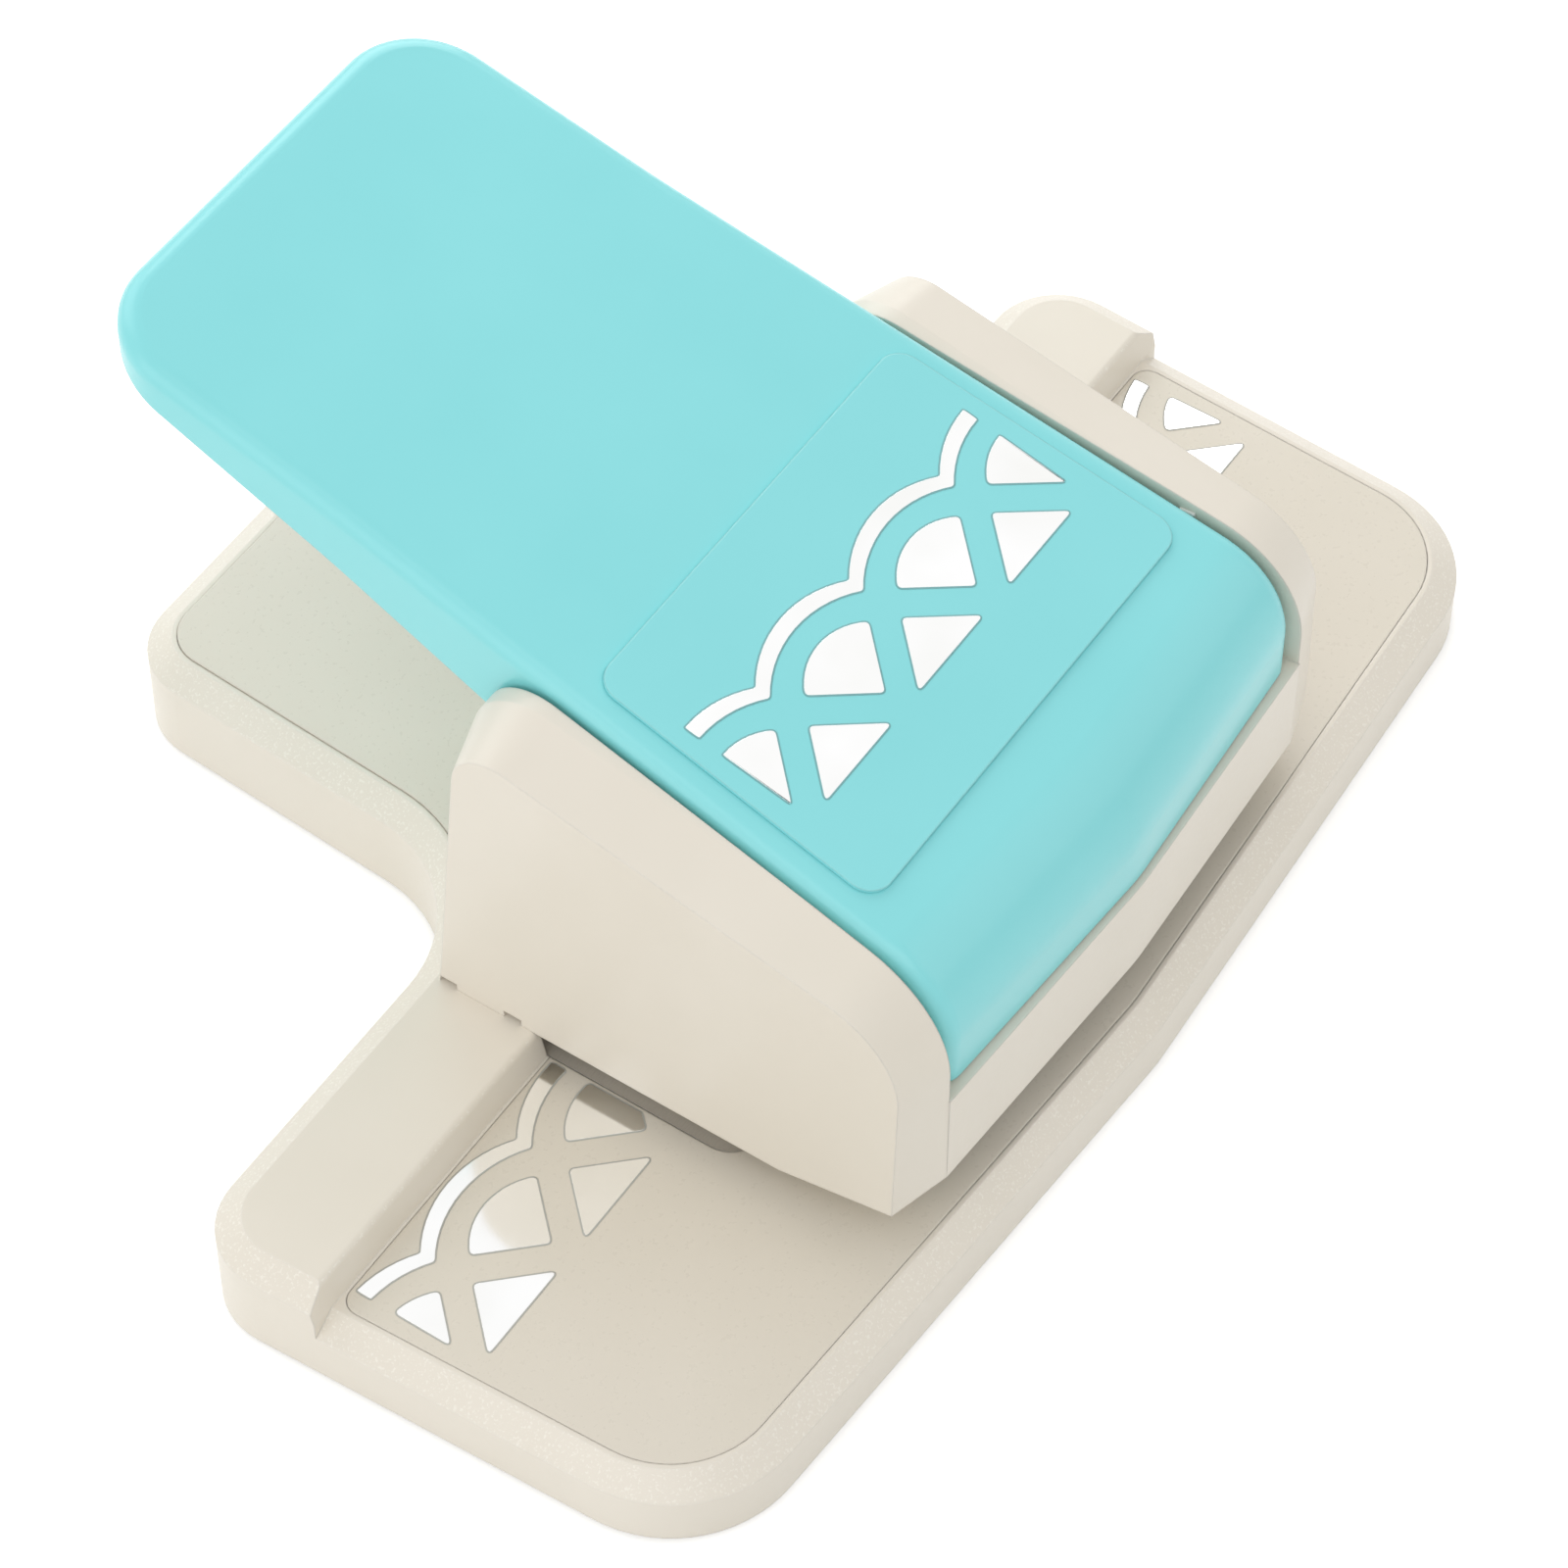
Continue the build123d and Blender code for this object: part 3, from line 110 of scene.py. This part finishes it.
# ------------------------------------------------------------------ shader helpers
def new_material(name):
    material = bpy.data.materials.new(name)
    material.use_nodes = True
    nodes = material.node_tree.nodes
    nodes.clear()
    shader = nodes.new("ShaderNodeBsdfPrincipled")
    output = nodes.new("ShaderNodeOutputMaterial")
    material.node_tree.links.new(shader.outputs["BSDF"], output.inputs["Surface"])
    return material, shader


def add_node(material, kind, **settings):
    node = material.node_tree.nodes.new(kind)
    for key, value in settings.items():
        setattr(node, key, value)
    return node


def link(material, source, target):
    material.node_tree.links.new(source, target)


def srgb(code):
    """Linear colour of a six-digit sRGB code."""
    parts = [int(code[i:i + 2], 16) / 255 for i in (0, 2, 4)]
    return tuple(p / 12.92 if p <= 0.04045 else ((p + 0.055) / 1.055) ** 2.4 for p in parts) + (1.0,)


def object_position(material, scale):
    """Object coordinates scaled along each axis; the node meshes are in metres."""
    coordinates = add_node(material, "ShaderNodeTexCoord")
    mapping = add_node(material, "ShaderNodeMapping")
    mapping.inputs["Scale"].default_value = scale
    link(material, coordinates.outputs["Object"], mapping.inputs["Vector"])
    return mapping.outputs["Vector"]


def noise(material, vector, scale, detail=3.0):
    node = add_node(material, "ShaderNodeTexNoise")
    node.inputs["Scale"].default_value = scale
    node.inputs["Detail"].default_value = detail
    link(material, vector, node.inputs["Vector"])
    return node.outputs["Fac"]


def spread(material, value, low, high, start=0.3, end=0.7):
    node = add_node(material, "ShaderNodeMapRange")
    node.inputs["From Min"].default_value = start
    node.inputs["From Max"].default_value = end
    node.inputs["To Min"].default_value = low
    node.inputs["To Max"].default_value = high
    link(material, value, node.inputs["Value"])
    return node.outputs["Result"]


def mix_colors(material, factor, first, second):
    node = add_node(material, "ShaderNodeMix", data_type="RGBA")
    link(material, factor, node.inputs["Factor"])
    for socket, color in ((node.inputs[6], first), (node.inputs[7], second)):
        if isinstance(color, tuple):
            socket.default_value = color
        else:
            link(material, color, socket)
    return node.outputs[2]


def rounded_normal(material, radius):
    node = add_node(material, "ShaderNodeBevel", samples=4)
    node.inputs["Radius"].default_value = radius
    return node.outputs["Normal"]


def edge_mask(material, rounded):
    """1 on edges, where the rounded normal leaves the surface's own, and 0 elsewhere."""
    geometry = add_node(material, "ShaderNodeNewGeometry")
    likeness = add_node(material, "ShaderNodeVectorMath", operation="DOT_PRODUCT")
    link(material, rounded, likeness.inputs[0])
    link(material, geometry.outputs["Normal"], likeness.inputs[1])
    return spread(material, likeness.outputs["Value"], 1.0, 0.0, *EDGE_LIKENESS)


def bump(material, height, strength, distance, normal):
    node = add_node(material, "ShaderNodeBump")
    node.inputs["Strength"].default_value = strength
    node.inputs["Distance"].default_value = distance
    link(material, height, node.inputs["Height"])
    link(material, normal, node.inputs["Normal"])
    return node.outputs["Normal"]


def product(material, first, second):
    node = add_node(material, "ShaderNodeMath", operation="MULTIPLY")
    link(material, first, node.inputs[0])
    link(material, second, node.inputs[1])
    return node.outputs["Value"]


def painted_glint_mask(material, position):
    """Painted glints: fine white specks of painted highlight on sloping faces such as rounded rims, and none
    on level or upright ones.
    """
    geometry = add_node(material, "ShaderNodeNewGeometry")
    axes = add_node(material, "ShaderNodeSeparateXYZ")
    link(material, geometry.outputs["True Normal"], axes.inputs["Vector"])
    above = spread(material, axes.outputs["Z"], 0.0, 1.0, *GLINT_STEEP)
    below = spread(material, axes.outputs["Z"], 1.0, 0.0, *GLINT_LEVEL)
    slope = product(material, above, below)
    glint_specks = spread(material, noise(material, position, GLINT_SCALE, 1.0), 0.0, GLINT_MOST, *GLINT_NOISE)
    return product(material, slope, glint_specks)


def plastic(
    name, color, shade, edge_highlight, rough, grain=1800.0, grain_strength=0.08, gloss=0.5, painted_glints=False
):
    """Moulded plastic: faint mottling, fine grain, edges a little paler with a painted highlight, and painted
    glints on sloping faces where asked.
    """
    material, shader = new_material(name)
    position = object_position(material, EVEN)
    mottle = spread(material, noise(material, position, MOTTLE_SCALE), 0.0, 1.0)
    rounded = rounded_normal(material, PLASTIC_EDGE)
    body = mix_colors(material, mottle, srgb(color), srgb(shade))
    # painted highlight: edges mixed towards a paler colour
    body = mix_colors(material, edge_mask(material, rounded), body, srgb(edge_highlight))
    grain_value = noise(material, position, grain, 2.0)
    low, high = rough
    link(material, spread(material, grain_value, low, high), shader.inputs["Roughness"])
    # painted glints: white specks of painted highlight on sloping faces
    if painted_glints:
        body = mix_colors(material, painted_glint_mask(material, position), body, srgb(PAINTED_GLINT_COLOR))
    link(material, body, shader.inputs["Base Color"])
    normal = bump(material, grain_value, grain_strength, PLASTIC_RELIEF, rounded)
    link(material, normal, shader.inputs["Normal"])
    shader.inputs["IOR"].default_value = PLASTIC_IOR
    shader.inputs["Specular IOR Level"].default_value = gloss
    return material


def metal(name, color, shade, rough, stretch=EVEN, scratch=900.0, strength=0.12, metallic=1.0):
    """Steel or alloy: brushed or cast grain, with brighter edges from a painted highlight."""
    material, shader = new_material(name)
    position = object_position(material, stretch)
    streaks = noise(material, position, scratch, 4.0)
    rounded = rounded_normal(material, METAL_EDGE)
    body = mix_colors(material, spread(material, streaks, 0.0, 1.0), srgb(color), srgb(shade))
    # painted highlight: edges mixed towards near white
    body = mix_colors(material, edge_mask(material, rounded), body, srgb(METAL_EDGE_HIGHLIGHT))
    link(material, body, shader.inputs["Base Color"])
    low, high = rough
    link(material, spread(material, streaks, low, high), shader.inputs["Roughness"])
    normal = bump(material, streaks, strength, METAL_RELIEF, rounded)
    link(material, normal, shader.inputs["Normal"])
    shader.inputs["Metallic"].default_value = metallic
    return material


def foil_material():
    """Hot-stamped silver foil: a near mirror with faint waves."""
    material, shader = new_material("foil")
    position = object_position(material, EVEN)
    waves = noise(material, position, 90.0, 2.0)
    body = mix_colors(material, spread(material, waves, 0.0, 1.0), srgb("FFFFFF"), srgb("F8F8F6"))
    link(material, body, shader.inputs["Base Color"])
    link(material, spread(material, waves, 0.04, 0.12), shader.inputs["Roughness"])
    normal = bump(material, waves, 0.02, FOIL_RELIEF, rounded_normal(material, FOIL_EDGE))
    link(material, normal, shader.inputs["Normal"])
    shader.inputs["Metallic"].default_value = 1.0
    return material


finishes = {
    # the shell gets painted glints, specks of painted highlight on its sloping rims
    "shell_beige": plastic("shell_beige", "E7E0D3", "E3DCCE", "EEE8DD", (0.32, 0.44), painted_glints=True),
    "inlay_beige": plastic("inlay_beige", "DFD8CA", "DBD4C5", "E8E1D4", (0.26, 0.36)),
    "lever_turquoise": plastic(
        "lever_turquoise", "8CDFE2", "88DCDF", "A6EAEC", (0.24, 0.27), 1400.0, 0.01, 0.5
    ),
    "label_turquoise": plastic(
        "label_turquoise", "8FDFE2", "8BDCDF", "A6EAEC", (0.28, 0.31), 1400.0, 0.01, 0.35
    ),
    # die plate: its pale beige colour is partly its own satin steel and partly a painted reflection of the
    # beige housing above it
    "die_steel": metal("die_steel", "DDD7CB", "D2CCC0", (0.42, 0.56), (1.0, 12.0, 1.0), metallic=0.4),
    "pressed_steel": metal("pressed_steel", "B9B8B5", "A3A29F", (0.40, 0.54)),
    "cutter_steel": metal("cutter_steel", "B4B4B4", "9C9C9B", (0.22, 0.34), (1.0, 1.0, 14.0)),
    "bright_steel": metal("bright_steel", "C9C9CA", "B9B9BA", (0.10, 0.20), (8.0, 1.0, 1.0), 700.0, 0.05),
    "screw_steel": metal("screw_steel", "BEBDB8", "A5A49F", (0.25, 0.38), EVEN, 1200.0),
    "spring_steel": metal("spring_steel", "B8B8BA", "9F9FA2", (0.18, 0.30), (1.0, 1.0, 6.0), 800.0),
    "plunger_alloy": metal("plunger_alloy", "BDBDBE", "ABABAC", (0.40, 0.55), EVEN, 1600.0, 0.2),
    "pad_white": plastic("pad_white", "F1F0EC", "E9E8E3", "FAFAF8", (0.30, 0.40)),
    "foot_rubber": plastic("foot_rubber", "2B2B2B", "353534", "444443", (0.62, 0.78), 2200.0, 0.3),
}
housing_finish = plastic("housing_beige", "E7E0D3", "E3DCCE", "EEE8DD", (0.30, 0.40), grain_strength=0.04)
foil_finish = foil_material()
deck_border = plastic("deck_border", "C3C3BB", "BBBBB3", "CACAC2", (0.30, 0.40))
label_border = plastic("label_border", "86BEC0", "7EB7B9", "90C6C8", (0.30, 0.40))

for part in frame["record"]["subparts"]:
    node = frame["nodes"][part["node"]]
    node.data.materials.clear()
    finish = housing_finish if part["node"] == "housing" else finishes[part["material_slot"]]
    node.data.materials.append(finish)


# ------------------------------------------------------------------ outlines of the printed shapes
def arc(first, middle, last):
    """Points along the circle through three points, ends included."""
    ax, ay = first
    bx, by = middle
    cx, cy = last
    a_square = ax * ax + ay * ay
    b_square = bx * bx + by * by
    c_square = cx * cx + cy * cy
    d = 2 * (ax * (by - cy) + bx * (cy - ay) + cx * (ay - by))
    ux = (a_square * (by - cy) + b_square * (cy - ay) + c_square * (ay - by)) / d
    uy = (a_square * (cx - bx) + b_square * (ax - cx) + c_square * (bx - ax)) / d
    radius = math.hypot(ax - ux, ay - uy)
    start = math.atan2(ay - uy, ax - ux)
    sweep = (math.atan2(cy - uy, cx - ux) - start + math.pi) % (2 * math.pi) - math.pi
    angles = [start + sweep * i / ARC_STEPS for i in range(ARC_STEPS + 1)]
    return [(ux + radius * math.cos(a), uy + radius * math.sin(a)) for a in angles]


def cut(points, limit, keep):
    """A closed outline cut at the line x = limit; keep is 1 for the greater side, -1 for the less."""
    kept = []
    for (ax, ay), (bx, by) in zip(points, points[1:] + points[:1]):
        a_in = keep * (ax - limit) >= 0
        b_in = keep * (bx - limit) >= 0
        if a_in:
            kept.append((ax, ay))
        if a_in != b_in:
            share = (limit - ax) / (bx - ax)
            kept.append((limit, ay + share * (by - ay)))
    return kept


def without_repeats(points):
    return [p for p, q in zip(points, points[1:] + points[:1]) if math.dist(p, q) > SAME_POINT]


def soften(points, radius):
    """A closed outline with its sharp corners rounded."""
    points = without_repeats(points)
    soft = []
    for before, here, after in zip(points[-1:] + points[:-1], points, points[1:] + points[:1]):
        to_before = Vector(before) - Vector(here)
        to_after = Vector(after) - Vector(here)
        turn = math.pi - to_before.angle(to_after)
        if turn < math.radians(SHARP_TURN):
            soft.append(here)
            continue
        reach = radius * math.tan(turn / 2)
        reach = min(reach, CORNER_SHARE * BAND, CORNER_SHARE * max(to_before.length, to_after.length))
        enter = along(here, before, reach)
        leave = along(here, after, reach)
        for i in range(CORNER_STEPS + 1):
            t = i / CORNER_STEPS
            soft.append(tuple(
                (1 - t) ** 2 * e + 2 * t * (1 - t) * h + t * t * v for e, h, v in zip(enter, here, leave)
            ))
    return soft


def along(here, neighbour, reach):
    """The point at most reach away from a corner, towards its neighbour."""
    step = Vector(neighbour) - Vector(here)
    return tuple(Vector(here) + step * min(1.0, reach / step.length))


def grow(points, amount):
    """A closed outline moved outward by amount."""
    points = without_repeats(points)
    area = sum(a[0] * b[1] - b[0] * a[1] for a, b in zip(points, points[1:] + points[:1]))
    side = 1 if area > 0 else -1
    grown = []
    for before, here, after in zip(points[-1:] + points[:-1], points, points[1:] + points[:1]):
        direction = (Vector(here) - Vector(before)).normalized() + (Vector(after) - Vector(here)).normalized()
        direction.normalize()
        grown.append((here[0] + side * amount * direction.y, here[1] - side * amount * direction.x))
    return grown


def fan(middle):
    top = math.hypot(FAN_HALF, FAN_APEX - FAN_CORNER) - FAN_APEX
    return arc((middle + FAN_HALF, -FAN_CORNER), (middle, top), (middle - FAN_HALF, -FAN_CORNER)) + [
        (middle, -FAN_APEX)
    ]


def triangle(middle):
    return [(middle - TRI_HALF, -TRI_BASE), (middle + TRI_HALF, -TRI_BASE), (middle, -TRI_APEX)]


def band(low, high):
    """The scalloped band from x = low to high, as one closed outline."""
    rear, front = [], []
    first = math.floor(low / PITCH)
    for i in range(first, math.ceil(high / PITCH)):
        ends = (i * PITCH, (i + 0.5) * PITCH, (i + 1) * PITCH)
        rear += arc((ends[0], 0), (ends[1], SCALLOP_RISE), (ends[2], 0))
        front += arc((ends[0], -BAND), (ends[1], SCALLOP_RISE - BAND), (ends[2], -BAND))
    return cut(cut(rear + front[::-1], low, 1), high, -1)


def pattern(low, high):
    """Every printed shape between x = low and high, as name and outline."""
    shapes = [("band", band(low, high))]
    for i in range(math.floor(low / PITCH), math.ceil(high / PITCH) + 1):
        for kind, outline in (("fan", fan((i + 0.5) * PITCH)), ("triangle", triangle(i * PITCH))):
            part = cut(cut(outline, low, 1), high, -1)
            if len(part) > 2 and max(p[0] for p in part) - min(p[0] for p in part) > LEAST_WIDTH:
                shapes.append((f"{kind}_{i - math.floor(low / PITCH)}", part))
    return shapes


# ------------------------------------------------------------------ foil pieces
def slab(name, outline, thickness, place):
    """A closed thin solid with this outline in mm, standing on the plane that place describes."""
    count = len(outline)
    vertices = [place @ Vector((x * MM, y * MM, -SUNK * MM)) for x, y in outline]
    vertices += [place @ Vector((x * MM, y * MM, thickness * MM)) for x, y in outline]
    area = sum(a[0] * b[1] - b[0] * a[1] for a, b in zip(outline, outline[1:] + outline[:1]))
    top = [count + i for i in range(count)]
    bottom = list(range(count))[::-1]
    sides = [[i, (i + 1) % count, count + (i + 1) % count, count + i] for i in range(count)]
    faces = [top, bottom] + sides
    if area < 0:
        faces = [face[::-1] for face in faces]
    mesh = bpy.data.meshes.new(name)
    mesh.from_pydata(vertices, [], faces)
    mesh.update()
    piece = bpy.data.objects.new(name, mesh)
    bpy.context.scene.collection.objects.link(piece)
    return piece


def print_pattern(prefix, low, high, place, body, border_finish):
    """Foil shapes with their thin border lines, riding on a body."""
    for name, outline in pattern(low, high):
        shape = soften(outline, ROUND)
        border = slab(f"{prefix}_{name}_border", grow(shape, OUTLINE), OUTLINE_PROUD, place)
        border.data.materials.append(border_finish)
        foil = slab(f"{prefix}_{name}", shape, FOIL, place)
        foil.data.materials.append(foil_finish)
        for piece in (border, foil):
            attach(piece, body)


base_low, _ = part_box("base_shell")
_, deck_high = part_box("deck_plate")
cusp_y = base_low[1] + CUSP_BEHIND_FRONT * MM
deck_place = Matrix.Translation((0, cusp_y, deck_high[2]))
print_pattern("deck_right", CUTOUT_HALF, DECK_REACH, deck_place, "base", deck_border)
print_pattern("deck_left", -DECK_REACH, -CUTOUT_HALF, deck_place, "base", deck_border)


def label_frame():
    """A frame on the label's top face: X across, Y up the slope, origin on the label's cusp line."""
    faces = frame["nodes"]["label_plate"].data.polygons
    top = max(faces, key=lambda face: face.normal.z * face.area)
    normal = top.normal.normalized()
    up_slope = normal.cross(Vector((1, 0, 0))).normalized()
    across = up_slope.cross(normal)
    y = cusp_y - LABEL_AHEAD * MM
    z = top.center.z - normal.y / normal.z * (y - top.center.y)
    place = Matrix((across, up_slope, normal)).transposed().to_4x4()
    place.translation = (0, y, z)
    return place


print_pattern("label", -LABEL_REACH, LABEL_REACH, label_frame(), "lever", label_border)


# ------------------------------------------------------------------ studio
def white_floor():
    """A large pale floor that shows as white, with the object's shadow left on it."""
    mesh = bpy.data.meshes.new("floor")
    corners = [(x * FLOOR_HALF, y * FLOOR_HALF, 0) for x, y in ((-1, -1), (1, -1), (1, 1), (-1, 1))]
    mesh.from_pydata(corners, [], [[0, 1, 2, 3]])
    floor = bpy.data.objects.new("floor", mesh)
    bpy.context.scene.collection.objects.link(floor)
    material, shader = new_material("floor")
    position = object_position(material, EVEN)
    mottle = spread(material, noise(material, position, 3.0), 0.0, 1.0)
    link(material, mix_colors(material, mottle, srgb("F4F4F3"), srgb("F2F2F1")), shader.inputs["Base Color"])
    shader.inputs["Roughness"].default_value = 0.9
    shader.inputs["Specular IOR Level"].default_value = 0.0
    rays = add_node(material, "ShaderNodeLightPath")
    seen = add_node(material, "ShaderNodeMath", operation="MAXIMUM")
    link(material, rays.outputs["Is Camera Ray"], seen.inputs[0])
    link(material, rays.outputs["Is Glossy Ray"], seen.inputs[1])
    glow = add_node(material, "ShaderNodeMath", operation="MULTIPLY")
    glow.inputs[1].default_value = FLOOR_GLOW
    link(material, seen.outputs["Value"], glow.inputs[0])
    shader.inputs["Emission Color"].default_value = (1, 1, 1, 1)
    link(material, glow.outputs["Value"], shader.inputs["Emission Strength"])
    mesh.materials.append(material)


def soft_lamp(name, place, size, watts):
    """A square area lamp aimed at the middle of the object."""
    lamp = bpy.data.lights.new(name, "AREA")
    lamp.shape = "SQUARE"
    lamp.size = size
    lamp.energy = watts
    holder = bpy.data.objects.new(name, lamp)
    bpy.context.scene.collection.objects.link(holder)
    holder.location = place
    aim = Vector(CAMERA_TARGET) * MM - Vector(place)
    holder.rotation_euler = aim.to_track_quat("-Z", "Y").to_euler()


def white_world(strength):
    """An even pale world that lights the scene, and shows as plain white to the camera and in gloss."""
    world = bpy.data.worlds.new("studio")
    bpy.context.scene.world = world
    world.use_nodes = True
    nodes = world.node_tree.nodes
    links = world.node_tree.links
    nodes.clear()
    rays = nodes.new("ShaderNodeLightPath")
    seen = nodes.new("ShaderNodeMath")
    seen.operation = "MAXIMUM"
    links.new(rays.outputs["Is Camera Ray"], seen.inputs[0])
    links.new(rays.outputs["Is Glossy Ray"], seen.inputs[1])
    level = nodes.new("ShaderNodeMapRange")
    level.inputs["To Min"].default_value = strength
    level.inputs["To Max"].default_value = 1.0
    links.new(seen.outputs["Value"], level.inputs["Value"])
    background = nodes.new("ShaderNodeBackground")
    background.inputs["Color"].default_value = (1, 1, 1, 1)
    links.new(level.outputs["Result"], background.inputs["Strength"])
    output = nodes.new("ShaderNodeOutputWorld")
    links.new(background.outputs["Background"], output.inputs["Surface"])


def studio_camera():
    """The camera, placed by its angles round the middle of the object and rolled about its axis."""
    azimuth = math.radians(CAMERA_AZIMUTH)
    elevation = math.radians(CAMERA_ELEVATION)
    roll = math.radians(CAMERA_ROLL)
    level = math.cos(elevation)
    back = Vector((math.sin(azimuth) * level, -math.cos(azimuth) * level, math.sin(elevation)))
    right = Vector((math.cos(azimuth), math.sin(azimuth), 0))
    up = back.cross(right)
    rolled_right = right * math.cos(roll) + up * math.sin(roll)
    rolled_up = up * math.cos(roll) - right * math.sin(roll)
    place = Matrix((rolled_right, rolled_up, back)).transposed().to_4x4()
    place.translation = (Vector(CAMERA_TARGET) + back * CAMERA_DISTANCE) * MM
    camera = bpy.data.objects.new("camera", bpy.data.cameras.new("camera"))
    bpy.context.scene.collection.objects.link(camera)
    camera.data.lens = CAMERA_LENS
    camera.data.sensor_width = CAMERA_SENSOR
    camera.data.shift_x = CAMERA_SHIFT[0]
    camera.data.shift_y = CAMERA_SHIFT[1]
    camera.data.clip_start = CAMERA_NEAR
    camera.matrix_world = place
    bpy.context.scene.camera = camera


white_floor()
white_world(WORLD_LEVEL)
soft_lamp("key", (-0.75, -0.35, 1.05), size=0.9, watts=3.2)
soft_lamp("side", (-0.95, 0.35, 0.35), size=0.8, watts=2.2)
soft_lamp("fill", (0.55, -0.9, 0.8), size=1.0, watts=2.0)
soft_lamp("rear", (0.1, 1.1, 0.8), size=0.9, watts=3.2)
soft_lamp("near", (0.45, 0.35, 0.35), size=0.4, watts=1.3)
studio_camera()
bpy.context.scene.view_settings.view_transform = "Standard"
